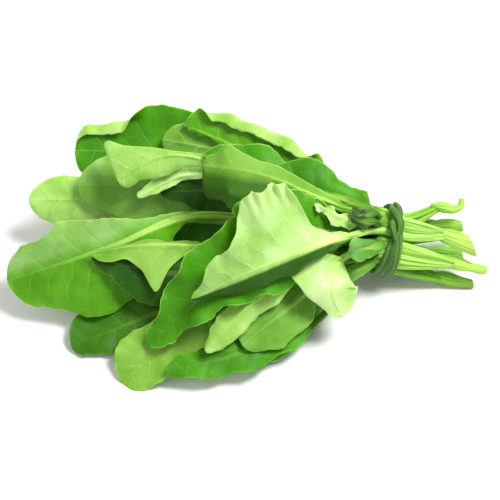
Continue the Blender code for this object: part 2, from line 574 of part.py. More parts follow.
def band_skin(tilt, shift, outside, spans=BAND_SPANS, sides=BAND_SIDES):
    """One turn of the tie, which fans out from the knot toward the far side of the neck."""
    angles = 2 * math.pi * np.arange(spans) / spans
    half_wide = NECK_HALF_WIDE + TIE_GAP + BAND_THICK / 2 + outside
    half_tall = NECK_HALF_TALL + TIE_GAP + BAND_THICK / 2 + outside
    centres = np.array([around_neck(angle, half_wide, half_tall) for angle in angles])
    fan = np.maximum(np.sin(angles - KNOT_ANGLE), 0)[:, None]
    centres = centres + (shift + tilt * fan) * NECK_WAY
    ways = unit(np.roll(centres, -1, 0) - np.roll(centres, 1, 0))
    facing = unit(centres - NECK - ((centres - NECK) @ NECK_WAY)[:, None] * NECK_WAY)
    radii = np.full(len(angles), BAND_WIDE / 2)
    points, triangles = tube(centres, ways, facing, radii, sides, BAND_THICK / BAND_WIDE, closed=True)
    return over_table(points), triangles


def strand_skin(phase, rings=KNOT_RINGS, sides=KNOT_SIDES):
    """One of the two strands that are twisted into the knot over the turns of the tie."""
    share = np.linspace(0, 1, rings)
    angles = KNOT_ANGLE + KNOT_REACH * (2 * share - 1)
    turn = 2 * math.pi * (share + phase)
    size = np.sin(math.pi * (0.08 + 0.84 * share)) ** 0.7
    centres = []
    for angle, twist, width in zip(angles, turn, size):
        out = KNOT_OUT + KNOT_TWIST * math.cos(twist) * width
        place = around_neck(angle, NECK_HALF_WIDE + out, NECK_HALF_TALL + out)
        centres.append(place + (KNOT_SHIFT + 1.4 * KNOT_TWIST * math.sin(twist) * width) * NECK_WAY)
    centres = np.array(centres)
    ways = unit(np.gradient(centres, axis=0))
    facing = unit(centres - NECK)
    points, triangles = tube(centres, ways, facing, KNOT_RADIUS * size, sides)
    return over_table(points), triangles


def add_mesh(name, skin, collection):
    """A mesh object in metres from corner points and triangles."""
    points, triangles = skin
    mesh = bpy.data.meshes.new(name)
    mesh.from_pydata([Vector(point - REST_SPOT) * METRES for point in points], [], triangles)
    mesh.validate()
    solid = bmesh.new()
    solid.from_mesh(mesh)
    bmesh.ops.recalc_face_normals(solid, faces=solid.faces)
    solid.to_mesh(mesh)
    solid.free()
    added = bpy.data.objects.new(name, mesh)
    collection.objects.link(added)
    return added


def grown_together(name, skins):
    """One object that is the union of the skins."""
    scene = bpy.context.scene.collection
    whole = add_mesh(name, skins[0], scene)
    others = bpy.data.collections.new(name + "_others")
    scene.children.link(others)
    for number, skin in enumerate(skins[1:]):
        add_mesh(f"{name}_{number}", skin, others)
    union = whole.modifiers.new("grown together", "BOOLEAN")
    union.operation = "UNION"
    union.solver = "MANIFOLD"
    union.operand_type = "COLLECTION"
    union.collection = others
    bpy.context.view_layer.update()
    seen = whole.evaluated_get(bpy.context.evaluated_depsgraph_get())
    fused = bpy.data.meshes.new_from_object(seen)
    whole.modifiers.clear()
    loose = whole.data
    whole.data = fused
    bpy.data.meshes.remove(loose)
    for other in list(others.objects):
        bpy.data.objects.remove(other)
    bpy.data.collections.remove(others)
    fused.name = name
    return whole


def tidy_mesh(part):
    """Cut every face into triangles and close up the shortest edges, as far as the skin stays closed."""
    for shortest in SHORTEST_EDGES:
        solid = bmesh.new()
        solid.from_mesh(part.data)
        bmesh.ops.triangulate(solid, faces=solid.faces)
        bmesh.ops.dissolve_degenerate(solid, edges=solid.edges, dist=shortest)
        bmesh.ops.triangulate(solid, faces=solid.faces)
        closed = all(len(edge.link_faces) == 2 for edge in solid.edges)
        if closed:
            solid.to_mesh(part.data)
        solid.free()
        if closed:
            return
    raise RuntimeError(part.name + " does not stay closed")


def paint(part, colour, roughness):
    """A plain material of the part's own."""
    material = bpy.data.materials.new(part.name)
    material.use_nodes = True
    shader = material.node_tree.nodes["Principled BSDF"]
    shader.inputs["Base Color"].default_value = (*colour, 1.0)
    shader.inputs["Roughness"].default_value = roughness
    part.data.materials.clear()
    part.data.materials.append(material)


def main():
    for old in list(bpy.data.objects):
        bpy.data.objects.remove(old)
    skins = {plant: [crown_skin(plant)] for plant in CROWNS}
    for entry, points, outer, inner, push in lay_leaves():
        skins[entry["plant"]].append(leaf_skin(points, outer, inner))
    for plant in CROWNS:
        part = grown_together("plant_" + plant, skins[plant])
        tidy_mesh(part)
        paint(part, PLANT_COLOUR, PLANT_ROUGHNESS)
    turns = [band_skin(*turn) for turn in BAND_TURNS]
    part = grown_together("tie", turns + [strand_skin(0.0), strand_skin(0.5)])
    tidy_mesh(part)
    paint(part, TIE_COLOUR, TIE_ROUGHNESS)


main()
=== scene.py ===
"""Looks of the bunch of spinach: fine leaves, stalks, crowns and the tie, on a plain pale table."""
import math

import bpy
import numpy as np
from bpy.props import FloatProperty, FloatVectorProperty, PointerProperty
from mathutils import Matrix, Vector


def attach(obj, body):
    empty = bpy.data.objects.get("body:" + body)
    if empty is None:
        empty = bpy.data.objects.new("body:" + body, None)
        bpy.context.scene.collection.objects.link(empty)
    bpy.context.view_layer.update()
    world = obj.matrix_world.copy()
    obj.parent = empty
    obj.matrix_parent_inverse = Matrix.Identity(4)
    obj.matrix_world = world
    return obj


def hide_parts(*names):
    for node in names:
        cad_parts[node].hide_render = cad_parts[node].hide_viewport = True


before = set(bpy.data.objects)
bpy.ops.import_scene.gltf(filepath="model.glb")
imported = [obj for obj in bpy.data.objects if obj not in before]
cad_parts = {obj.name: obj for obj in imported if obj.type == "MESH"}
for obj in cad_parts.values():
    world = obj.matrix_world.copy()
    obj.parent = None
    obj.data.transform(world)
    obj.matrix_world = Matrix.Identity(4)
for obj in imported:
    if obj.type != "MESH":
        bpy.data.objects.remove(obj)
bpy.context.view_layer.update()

bl_info = {
    "name": "Bunch of spinach",
    "version": (1, 0, 0),
    "blender": (4, 5, 0),
    "location": "3D View > Sidebar > Spinach",
    "description": "Fine leaves, stalks and tie of a bunch of spinach, with a table and soft light",
    "category": "Object",
}

# The leaning plane
LEAN = math.radians(50.0)
ALONG = np.array((1.0, 0.0, 0.0))
UP = np.array((0.0, math.sin(LEAN), math.cos(LEAN)))
OUT = np.array((0.0, -math.cos(LEAN), math.sin(LEAN)))
PLANE_HEIGHT = 22.0
RIGHT_OUT = np.array((0.0, 0.0, 1.0))
TABLE_UP = np.array((0.0, UP[2], OUT[2]))

# The tied neck, where every stalk has a seat on one of three rings
NECK = np.array((84.0, 6.0, 0.0))
NECK_WAY = np.array((0.95, -0.21, -0.23)) / math.hypot(0.95, 0.21, 0.23)
NECK_STRAIGHT = 10.0
SEAT_RINGS = {
    "outer": {"half_wide": 18.3, "half_tall": 15.0, "count": 17, "first": 8.0},
    "middle": {"half_wide": 11.9, "half_tall": 8.9, "count": 11, "first": 10.0},
    "inner": {"half_wide": 5.7, "half_tall": 3.1, "count": 4, "first": 0.0},
}

# Stalks and blades
STALK_RADIUS = 2.45
SLIM_RADIUS = 0.8 * STALK_RADIUS
TIP_RADIUS = 0.4
STALK_ROUND = 0.94
BLADE_THICK = 0.8
RIB_HEIGHT = 0.9
RIB_SPREAD = 0.12
CROWN_SHARE = 0.12
SPLINE_STEPS = 40

# How far a blade opens out of its stalk, where its round end starts, and how its waves fade and lag
OPENING = 6.0
FLAT_AFTER = OPENING + 2
END_START = 0.76
END_POWER = 2.2
LEAST_HALF = 1.0
FADE_POWER = 0.4
SCALLOP_LAG = 1.2
HALF_LAG = 0.37
ACROSS_STEPS = 24
ROLL_FROM = 0.6
ROLL_TO = 0.76
ROLL_EASE = 0.12

# Grid lines: segments along the crown, the stalk and the blade, closer toward the tip, and places across
CROWDING = 1.15
HALVES = (-1.0, -0.5, 0.0, 0.5, 1.0)
THIRDS = (-1.0, -0.67, -0.33, 0.0, 0.33, 0.67, 1.0)
ROLLED = (-1.0, -0.5, 0.0, 0.35, 0.6, 0.68, 0.76, 0.88, 1.0)
GRIDS = {
    "fine": (2, 4, 17, THIRDS),
    "rolled": (2, 3, 13, ROLLED),
    "full": (2, 3, 12, THIRDS),
    "plain": (2, 3, 9, HALVES),
    "hidden": (2, 2, 6, HALVES),
}

# Laying one leaf on another
CELL = 1.5
REFINE = 8
LAY_GAP = 0.9
TABLE_GIVE = 3.6
REST_HALF = BLADE_THICK / 2 - 0.05
PRESSED = 0.5
MAP_ALONG = (-180.0, 170.0)
MAP_UP = (-130.0, 120.0)
HELD_TO = 18.0
FREE_FROM = 40.0
HELD_POWER = 0.15
BEHIND_NECK = 10.0
SMOOTHINGS = 60

# The tie, a strip wound three times round the neck and knotted
NECK_HALF_WIDE = 20.95
NECK_HALF_TALL = 17.65
TIE_GAP = 0.4
BAND_WIDE = 5.0
BAND_THICK = 1.8
BAND_TURNS = ((-3.8, 0.3, 0.0), (-0.3, 0.0, 0.5), (3.4, -0.3, 1.0))
KNOT_ANGLE = math.radians(95.0)
KNOT_REACH = math.radians(33.0)
KNOT_OUT = 4.6
KNOT_TWIST = 1.9
KNOT_ALONG = 1.4 * KNOT_TWIST
KNOT_SHIFT = -2.0
KNOT_RADIUS = 2.5
KNOT_END = 0.08
KNOT_POWER = 0.7

# The part's own origin, on the flat of the lowest leaf
REST_SPOT = np.array((-30.0, 17.0, 0.0))
METRES = 0.001

# Crowns on the leaning plane: points from the stalks to the cut end, the radius at each, and the cut's slant
CROWNS = {
    "a": (((112, 28, 2), (120, 26.5, 2), (126, 25.2, 2), (130.2, 27, 2), (131, 32, 2)),
          (1.2, 3.7, 2.7, 2.2, 1.7), 0.0),
    "b": (((112, 11, 5), (122, 8, 7), (131, 4.5, 8), (137, 2.2, 8)), (1.6, 5.0, 5.6, 5.4), 0.9),
    "c": (((116, -4, 2), (127, -8, 2), (138, -11, 2), (142.5, -12, 2), (146.5, -12.6, 2)),
          (1.6, 4.6, 2.9, 3.2, 2.2), 0.0),
    "d": (((113, -15, -4), (123, -18, -7), (132, -20, -7), (139, -21, -7)), (1.6, 4.6, 3.4, 2.6), 0.3),
    "e": (((110, -1, -13), (120, -2, -18), (128, -3, -20.5), (134, -3.4, -21.5)), (1.6, 4.8, 4.6, 3.2), 0.4),
    "f": (((111, 14, -9), (121, 15, -13), (128, 15, -14.5), (133, 15, -15)), (1.6, 4.8, 4.6, 3.4), 0.2),
}
STALKS_END = 1


def on_table(x, y, z):
    """A point over the table, given in the leaning plane."""
    spot = np.array((x, y, z - PLANE_HEIGHT), float)
    return (x, float(spot @ UP), float(spot @ OUT))


def leaf(name, plant, ring, number, base, middle, tip, upper, lower, **shape):
    """One leaf: its seat, three points of its midrib and the widths of its two halves, base to tip."""
    entry = {
        "name": name, "plant": plant, "ring": ring, "number": number,
        "base": base, "middle": middle, "tip": tip, "upper": upper, "lower": lower,
        "fold": (0.0, 0.0), "curl": (0.0, 0.0), "roll": 0.0, "rolled": (0.0, 1.0),
        "ruffle": 0.0, "scallop": 0.0, "waves": 2.5, "phase": 0.0, "end": END_START, "pointed": 0.0,
        "under": 1, "lie": 0.0, "tone": "fresh", "grid": "full", "coarse": 1.0,
    }
    entry.update(shape)
    for key in ("ruffle", "scallop"):
        if not isinstance(entry[key], tuple):
            entry[key] = (entry[key], entry[key])
    return entry


# Blade half widths and ways of the leaves that carry the bunch from below, and how much coarser they are;
# their deep tone is painted shade
BROAD = (12.0, 20.0, 24.0, 20.0, 14.0)
NARROW = (10.0, 16.0, 18.0, 16.0, 11.0)
LOW = {"grid": "hidden", "tone": "deep", "ruffle": 1.2, "scallop": 1.0, "lie": 40.0, "coarse": 2.2}
BACK = {**LOW, "lie": 62.0}

# From the table up: base, middle and tip over the table, both widths, phase and way
CARRIERS = (
    ("low_middle", "e", "outer", 13, (40, 4, 4), (-20, 10, -0.8), (-104, 20, -0.6), BROAD, BROAD, 0.0, LOW),
    ("low_back", "e", "outer", 14, (30, 22, 8), (-30, 46, 2), (-92, 70, -1), BROAD, BROAD, 0.3, LOW),
    ("low_front", "e", "outer", 12, (36, -16, 7), (-20, -34, 1), (-84, -50, -1), BROAD, BROAD, 0.5, LOW),
    ("low_right", "d", "outer", 11, (46, -24, 8), (14, -50, 3), (-24, -68, 0), NARROW, NARROW, 0.1, LOW),
    ("back_right", "f", "outer", 15, (34, 30, 12), (-4, 56, 8), (-46, 82, 2), BROAD, BROAD, 0.7, LOW),
    ("second_middle", "e", "middle", 8, (20, 0, 14), (-50, -2, 12), (-122, -6, 8), BROAD, BROAD, 0.6, LOW),
    ("second_back", "e", "middle", 9, (20, 18, 18), (-40, 34, 20), (-106, 44, 14), BROAD, BROAD, 0.8, LOW),
    ("back_high", "f", "outer", 16, (30, 30, 24), (-14, 54, 28), (-68, 72, 18), BROAD, BROAD, 0.4, BACK),
    ("back_near", "f", "middle", 10, (40, 26, 30), (12, 48, 36), (-30, 70, 28), NARROW, BROAD, 0.2, BACK),
)
LEAVES = [leaf(name, plant, ring, number, on_table(*base), on_table(*middle), on_table(*tip), upper, lower,
               phase=phase, **way)
          for name, plant, ring, number, base, middle, tip, upper, lower, phase, way in CARRIERS]

# The leaves over them, back to front
LEAVES += [
    leaf("shade_left", "e", "inner", 3, (-12, 22, -12), (-62, 20, -14), (-118, 14, -12),
         (10, 14, 15, 13, 10), (10, 15, 17, 16, 11), ruffle=1.5, tone="deep", grid="plain"),
    leaf("far_left", "f", "inner", 0, (-31, 31, -10), (-87, 32, -10), (-138, 31, -14),
         (9, 13, 14, 15, 15), (9, 14, 17, 18, 17), ruffle=1.5, scallop=0.8, tone="light", curl=(-20, -20),
         grid="plain"),
    leaf("back_top", "f", "middle", 0, (44, 36, -12), (6, 54, -14), (-48, 62, -22),
         (10, 16, 18, 16, 12), BROAD, ruffle=1.5, tone="deep", grid="plain", lie=20),
    leaf("top_left", "f", "outer", 0, (12, 44, -18), (-48, 60, -18), (-109, 62, -20),
         (13, 21, 27, 30, 28, 26), (12, 20, 22, 21, 16), ruffle=1.5, scallop=0.6, tone="bright", under=-1,
         curl=(10, -10), roll=160, rolled=(0.64, 1.1), end=0.93, grid="rolled"),
    leaf("top_round", "a", "middle", 1, (31, 46, -8), (-9, 59, -6), (-54, 68, -10),
         (12, 18, 19, 18, 14), (12, 20, 22, 20, 15), ruffle=2, tone="matte", curl=(-20, -20), grid="plain"),
    leaf("centre_fill", "b", "inner", 1, (10, 16, 2), (-40, 18, 0), (-84, 14, -2),
         (10, 15, 16, 15, 11), (10, 15, 16, 15, 11), ruffle=1.5, tone="dark", grid="plain"),
    leaf("left_round", "b", "middle", 2, (7, 27, 4), (-50, 38, 4), (-106, 40, 0),
         (12, 16, 17, 19, 20, 19), (12, 17, 19, 20, 21, 18), ruffle=2, scallop=0.6, tone="matte",
         curl=(-15, -15), grid="plain"),
    leaf("top_frill", "a", "outer", 1, (52, 33, 6), (17, 52, 10), (-40, 77, 8),
         (12, 20, 26, 27, 26, 26, 22), (12, 20, 20, 13, 6, 4, 3), ruffle=1.2, scallop=1.2, tone="rich",
         under=-1, fold=(5, -20), curl=(10, -20), roll=160, rolled=(0.2, 0.97), waves=5, grid="rolled"),
    leaf("inner_dark", "b", "middle", 2.7, (14, 30, 8), (-20, 36, 10), (-55, 36, 9),
         (12, 12, 10, 8, 6), (10, 13, 14, 12, 8), ruffle=1, scallop=0.6, tone="dark", under=-1,
         grid="hidden"),
    leaf("left_strip", "b", "middle", 2.4, (-2, 42, 5), (-38, 45.5, 8), (-68, 32, 12),
         (3, 3.5, 5, 6), (2.5, 3, 4, 4), ruffle=1, tone="pale", curl=(30, -30), grid="hidden"),
    leaf("left_point", "b", "middle", 3, (22, 36, 4), (-49, 57, 8), (-80, 42, 8),
         (5, 5, 5, 4, 4, 4, 3, 3, 3, 3.5, 6, 10, 16, 24), (5, 6, 6, 6, 6, 8, 12, 12, 8), ruffle=1.2,
         scallop=0.4, tone="light", curl=(-10, -25), end=0.95, grid="plain"),
    leaf("upper_behind", "a", "outer", 1.5, (52, 27, 16), (12, 47, 20), (-28, 57, 16),
         (7, 8, 10, 14, 14, 10), (6, 8, 9, 9, 8, 7), ruffle=2, scallop=1.2, waves=3.5, tone="bright",
         under=-1, fold=(-10, 0), grid="plain"),
    leaf("top_near", "a", "outer", 2, (73, 26, 10), (46, 34, 17), (12, 46, 14),
         (9.5, 9.5, 9, 10, 14, 17, 17, 16, 14, 11), (3, 4, 6, 8, 8), ruffle=1.2, scallop=0.7, waves=3,
         tone="bright", under=-1),
    leaf("low_left", "d", "middle", 7, (-24, -24, 14), (-66, -42, 22), (-108, -58, 26),
         (10, 15, 18, 14, 17), (10, 15, 16, 15, 12), ruffle=2.0, scallop=1.8, waves=3.5, tone="deep",
         under=-1, lie=20, end=0.86, grid="plain"),
    leaf("low_tip", "d", "middle", 6, (-6, -34, 24), (-44, -51, 32), (-76, -80, 38),
         (9, 12, 14, 16, 19, 19), (12, 16, 18, 18, 19, 18), ruffle=2, scallop=0.8, under=-1, tone="light",
         fold=(20, 10), lie=25),
    leaf("big_left", "c", "inner", 2, (-32, 21, 14), (-84, 2, 20), (-148, -19, 10),
         (4.5, 8, 13, 18, 23, 25, 19, 20), (8, 20, 31, 36, 38, 37, 30, 22), ruffle=2.5, scallop=(0.6, 1.2),
         tone="rich", under=-1, fold=(-16, -10), waves=3, end=0.83),
    leaf("bottom_long", "d", "outer", 10, (40, -43, 24), (-2, -60, 34), (-50, -72, 38),
         (8, 12, 13, 12, 9), (8, 11, 13, 12, 9), ruffle=2.0, scallop=1.4, waves=3.5, tone="bright", under=-1,
         lie=25, grid="plain"),
    leaf("tent_inside", "c", "middle", 5, (-14, -13, 20), (-56, -13, 24), (-95, -5, 26),
         (12, 12, 12, 11, 8, 5), (18, 20, 21, 20, 15, 9), ruffle=1, tone="dark", under=-1, pointed=0.6,
         grid="plain"),
    leaf("tent", "c", "middle", 4.1, (-28, 2, 28), (-60, 3, 33), (-96, -2, 30),
         (6, 6, 6, 5, 4, 3), (5, 14, 29, 14, 7, 8), ruffle=0.8, tone="fresh", fold=(-60, 12), pointed=0.4),
    leaf("oval", "d", "outer", 9, (41, -20, 26), (20, -37, 34), (-5, -56, 38),
         (12, 16, 16, 15, 12), (12, 16, 17, 17, 13), ruffle=1, scallop=0.5, tone="matte", curl=(-20, -20),
         grid="plain"),
    leaf("curled_back", "c", "outer", 7.5, (42, -9, 30), (10, -21, 34), (-24, -45, 36),
         (8, 9, 9, 8, 6), (4, 5, 5, 5, 4), ruffle=1.5, scallop=0.8, tone="rich", under=-1, curl=(0, 30),
         grid="plain"),
    leaf("curled", "c", "outer", 8, (34, -11, 32), (1, -31, 38), (-26, -60, 42),
         (5, 8, 9, 9, 8), (7, 10, 11, 10, 9), ruffle=1.5, scallop=0.6, tone="light", curl=(35, -35),
         grid="plain"),
    leaf("middle_large", "b", "outer", 4, (53, 4, 28), (-7, -13, 36), (-60, -57, 34),
         (16, 34, 32, 27, 23, 14), (14, 20, 20, 16, 12, 9), ruffle=3.5, scallop=2.0, tone="bright",
         under=-1, fold=(22, 10), waves=5, grid="fine"),
    leaf("upper_middle", "b", "outer", 3, (55, 25, 20), (8, 44, 24), (-28, 50, 20),
         (5, 5.5, 6, 6.5, 7, 7, 7.5, 8, 8.5, 9.5, 11, 13, 15, 8), (4, 6, 11, 18, 24, 26, 23),
         ruffle=(1.0, 2.2), scallop=(0.4, 0.8), fold=(-5, -15), curl=(-10, -30), end=0.94, pointed=0.3),
    leaf("inner_serrated", "b", "outer", 3.8, (60, 9, 26), (30, 14, 33), (-10, 24, 34),
         (8, 16, 20, 20, 16, 10), (6, 8, 9, 9, 8), ruffle=1.2, scallop=0.8, waves=4, tone="bright", under=-1,
         grid="plain"),
    leaf("torn", "b", "outer", 3.3, (67, 17, 34), (54, 19, 38), (38, 27, 38),
         (2, 3, 3, 3, 2), (4, 6, 6, 4, 3), ruffle=1.0, scallop=1.2, waves=3, tone="pale", grid="hidden"),
    leaf("neck_low", "c", "outer", 6.5, (75, -7, 22), (67, -11, 26), (54, -18, 26),
         (3.5, 4.5, 5, 5), (3.5, 4.5, 5, 5), tone="matte", grid="hidden"),
    leaf("right_low", "c", "outer", 7, (54, -6, 35), (48, -22, 41), (54, -40, 38),
         (21, 27, 18, 11, 7), (11, 15, 18, 18, 15), ruffle=(1.0, 0.6), scallop=0.3, tone="pale",
         fold=(-10, 0), curl=(-15, -20)),
    leaf("front", "b", "outer", 5, (58, 8, 38), (14, -7, 44), (-34, -29, 42),
         (4.5, 6, 8, 13, 38, 43, 44, 39, 43, 43, 35, 25, 21, 18, 17, 16, 14, 11, 9),
         (6, 11, 15, 18, 18, 17, 15, 11, 8), ruffle=(2.4, 0.8), scallop=(1.0, 0.3), tone="pale",
         fold=(0, -20), curl=(20, -60), waves=5, pointed=0.7, grid="fine"),
    leaf("neck_bit", "b", "outer", 3.6, (75, 22, 27), (67, 20, 31), (60, 24, 32),
         (3, 5, 5, 4), (3, 4, 5, 4), ruffle=1.6, scallop=0.8, waves=2, tone="dark", under=-1, grid="hidden"),
    leaf("neck_curl", "b", "outer", 4.5, (74, 17, 30), (66, 17, 33), (59, 20, 34),
         (3, 4, 4, 3), (3, 4, 4, 3), ruffle=1.4, scallop=0.8, waves=2, tone="dark", under=-1, grid="hidden"),
    leaf("neck_small", "c", "outer", 6, (80, 2.5, 27), (70, 1.5, 31), (58, -0.5, 32),
         (4, 5, 6, 7, 7), (4, 6, 7, 8, 8), tone="matte", under=-1, grid="plain"),
]


def unit(rows):
    """Rows scaled to length one."""
    return rows / np.maximum(np.linalg.norm(rows, axis=-1, keepdims=True), 1e-9)


def ramp(values, start, length):
    """0 up to the start, 1 from the length after it, and straight between."""
    return np.clip((values - start) / length, 0, 1)


def distances(line):
    """Distance of each point of a line along it."""
    return np.concatenate([[0.0], np.cumsum(np.linalg.norm(np.diff(line, axis=0), axis=1))])


def between(at, far, rows):
    """Rows of x, y and z at places between the given ones."""
    return np.stack([np.interp(at, far, rows[:, n]) for n in range(3)], -1)


def over_table(points):
    """Points of the leaning plane as x, y and height over the table."""
    points = np.asarray(points, float)
    level = np.array((0.0, 0.0, PLANE_HEIGHT))
    return points[..., :1] * ALONG + points[..., 1:2] * UP + points[..., 2:3] * OUT + level


def resting(corners):
    """Corners over the table, the lowest ones pressed flat on it."""
    corners[corners[:, 2] < PRESSED, 2] = 0.0
    return corners


def around_neck(angle, half_wide, half_tall):
    """A point round the neck, in the cut square to the stalks."""
    off = np.array((0.0, half_wide * math.cos(angle), half_tall * math.sin(angle)))
    up = off @ UP
    out = off @ OUT
    along = -(up * NECK_WAY[1] + out * NECK_WAY[2]) / NECK_WAY[0]
    return NECK + np.array((along, up, out))


def seat(entry):
    """Where a leaf's stalk passes the neck, the seats of a ring being evenly spaced along it."""
    ring = SEAT_RINGS[entry["ring"]]
    turn = math.radians(ring["first"]) + np.linspace(0.0, 2 * math.pi, 361)
    round_it = np.array([around_neck(angle, ring["half_wide"], ring["half_tall"]) for angle in turn])
    far = distances(round_it)
    return between(entry["number"] / ring["count"] * far[-1], far, round_it)


def smooth_line(points):
    """A curve through the points: its dense points, their distance along it, and that of each given point."""
    given = np.asarray(points, float)
    given = np.vstack([2 * given[0] - given[1], given, 2 * given[-1] - given[-2]])
    pieces = []
    for start in range(1, len(given) - 2):
        p0, p1, p2, p3 = given[start - 1:start + 3]
        t1 = math.sqrt(np.linalg.norm(p1 - p0))
        t2 = t1 + math.sqrt(np.linalg.norm(p2 - p1))
        t3 = t2 + math.sqrt(np.linalg.norm(p3 - p2))
        t = np.linspace(t1, t2, SPLINE_STEPS, endpoint=False)[:, None]
        a1 = (t1 - t) / t1 * p0 + t / t1 * p1
        a2 = (t2 - t) / (t2 - t1) * p1 + (t - t1) / (t2 - t1) * p2
        a3 = (t3 - t) / (t3 - t2) * p2 + (t - t2) / (t3 - t2) * p3
        b1 = (t2 - t) / t2 * a1 + t / t2 * a2
        b2 = (t3 - t) / (t3 - t1) * a2 + (t - t1) / (t3 - t1) * a3
        pieces.append((t2 - t) / (t2 - t1) * b1 + (t - t1) / (t2 - t1) * b2)
    pieces.append(given[-2][None])
    line = np.vstack(pieces)
    far = np.concatenate([[0.0], np.cumsum(np.linalg.norm(np.diff(line, axis=0), axis=1))])
    marks = [far[SPLINE_STEPS * n] for n in range(len(given) - 2)]
    return line, far, marks


def soft_curve(knots, values, at):
    """A curve through the values that never overshoots them."""
    gap = np.diff(knots)
    rise = np.diff(values) / gap
    slope = np.zeros(len(knots))
    slope[0] = rise[0]
    slope[-1] = rise[-1]
    for n in range(1, len(knots) - 1):
        if rise[n - 1] * rise[n] > 0:
            slope[n] = 2 * rise[n - 1] * rise[n] / (rise[n - 1] + rise[n])
    n = np.clip(np.searchsorted(knots, at, side="right") - 1, 0, len(knots) - 2)
    s = (at - knots[n]) / gap[n]
    start = (2 * s ** 3 - 3 * s ** 2 + 1) * values[n] + (s ** 3 - 2 * s ** 2 + s) * gap[n] * slope[n]
    end = (-2 * s ** 3 + 3 * s ** 2) * values[n + 1] + (s ** 3 - s ** 2) * gap[n] * slope[n + 1]
    return start + end


def half_width(values, share, end_start, pointed):
    """Width of one half of a blade at each share of its length."""
    count = len(values)
    knots = np.concatenate([[0.0], (np.arange(count) + 1) / (count + 1), [1.0]])
    width = soft_curve(knots, np.array((SLIM_RADIUS, *values, values[-1])), share)
    end = ramp(share, end_start, 1 - end_start)
    return np.maximum(width * (1 - end ** END_POWER) ** (0.5 + 0.5 * pointed), LEAST_HALF)


def midrib(entry):
    """The leaf's middle line, a frame carried along it, and how far along it the neck and the base are."""
    place = seat(entry)
    crown = np.array(CROWNS[entry["plant"]][0][STALKS_END], float) + CROWN_SHARE * (place - NECK)
    before = place + NECK_STRAIGHT * NECK_WAY
    after = place - NECK_STRAIGHT * NECK_WAY
    line, far, marks = smooth_line([crown, before, after, entry["base"], entry["middle"], entry["tip"]])
    base = marks[3]
    way = unit(np.gradient(line, axis=0))
    face = np.zeros_like(way)
    first = int(np.searchsorted(far, base))
    lie = math.radians(entry["lie"])
    wanted = np.array((0.0, math.sin(lie), math.cos(lie)))
    face[first] = unit(wanted - (wanted @ way[first]) * way[first])
    for n in range(first + 1, len(way)):
        face[n] = unit(face[n - 1] - (face[n - 1] @ way[n]) * way[n])
    for n in range(first - 1, -1, -1):
        face[n] = unit(face[n + 1] - (face[n + 1] @ way[n]) * way[n])
    return line, far, way, face, marks[1] + NECK_STRAIGHT, base


def crowded(count):
    """Shares of a blade's length, closer together toward its tip."""
    return 1 - (1 - np.linspace(0, 1, count + 1)) ** CROWDING


def stations(entry):
    """Distances along a leaf and positions across it where its coarse grid has points."""
    foot, stalk, blade, columns = GRIDS[entry["grid"]]
    _, far, _, _, neck, base = midrib(entry)
    down = np.concatenate([
        np.linspace(0, neck, foot, endpoint=False),
        np.linspace(neck, base, stalk, endpoint=False),
        base + (far[-1] - base) * crowded(blade),
    ])
    return down, np.array(columns)


def cross_section(entry, half, share, width, opened):
    """How far out to the side and forward one half of a blade runs, rib to margin, and its slope there."""
    reach = (np.arange(ACROSS_STEPS) + 0.5) / ACROSS_STEPS
    fold = math.radians(entry["fold"][half])
    curl = math.radians(entry["curl"][half])
    start, stop = entry["rolled"]
    window = ramp(share, start, ROLL_EASE) * ramp(stop - share, 0, ROLL_EASE)
    roll = math.radians(entry["roll"]) * (half == 0) * window
    rolled = ramp(reach, ROLL_FROM, ROLL_TO - ROLL_FROM)
    slope = (fold + curl * reach + roll[:, None] * rolled) * opened[:, None]
    step = width[:, None] / ACROSS_STEPS
    nothing = np.zeros((len(share), 1))
    sideways = np.hstack([nothing, np.cumsum(np.cos(slope) * step, axis=1)])
    outward = np.hstack([nothing, np.cumsum(np.sin(slope) * step, axis=1)])
    return sideways, outward, np.hstack([slope[:, :1], slope])


def middle_surface(entry, down, across):
    """The surface in the middle of a leaf's thickness, and its thickness outward and inward of it."""
    line, far, way, face, neck, base = midrib(entry)
    centre = between(down, far, line)
    face = unit(between(down, far, face))
    side = np.cross(unit(between(down, far, way)), face)
    share = ramp(down, base, far[-1] - base)
    opened = ramp(down, base, OPENING)
    radius = np.interp(down, [0, neck, base, far[-1]], [SLIM_RADIUS, STALK_RADIUS, SLIM_RADIUS, TIP_RADIUS])
    ends_flat = np.sin(math.pi * share) ** FADE_POWER
    halves = []
    for half, values in enumerate((entry["upper"], entry["lower"])):
        width = half_width(values, share, entry["end"], entry["pointed"])
        turn = 2 * math.pi * (entry["waves"] * share + entry["phase"] + HALF_LAG * half)
        width = width + entry["scallop"][half] * np.sin(turn + SCALLOP_LAG) * ends_flat * opened
        width = np.where(down <= base, radius, width)
        halves.append((turn, cross_section(entry, half, share, width, opened)))
    points = np.zeros((len(down), len(across), 3))
    for column, where in enumerate(across):
        half = 0 if where >= 0 else 1
        turn, section = halves[half]
        step = abs(where) * ACROSS_STEPS
        low = min(int(step), ACROSS_STEPS - 1)
        sideways, outward, slope = (rows[:, low] * (low + 1 - step) + rows[:, low + 1] * (step - low)
                                    for rows in section)
        wave = entry["ruffle"][half] * where ** 2 * np.sin(turn) * ends_flat * opened
        sideways = sideways - wave * np.sin(slope)
        outward = outward + wave * np.cos(slope)
        sign = 1 if half == 0 else -1
        points[:, column] = centre + (sign * sideways)[:, None] * side + outward[:, None] * face
    flat = ramp(down, base, FLAT_AFTER)[:, None]
    around = radius[:, None] * np.sqrt(1 - (np.abs(across) * STALK_ROUND) ** 2)[None]
    rib = BLADE_THICK / 2 + RIB_HEIGHT * radius[:, None] * np.exp(-(across / RIB_SPREAD) ** 2)[None]
    plain = np.full_like(rib, BLADE_THICK / 2)
    outer, inner = (rib, plain) if entry["under"] > 0 else (plain, rib)
    return points, around * (1 - flat) + outer * flat, around * (1 - flat) + inner * flat


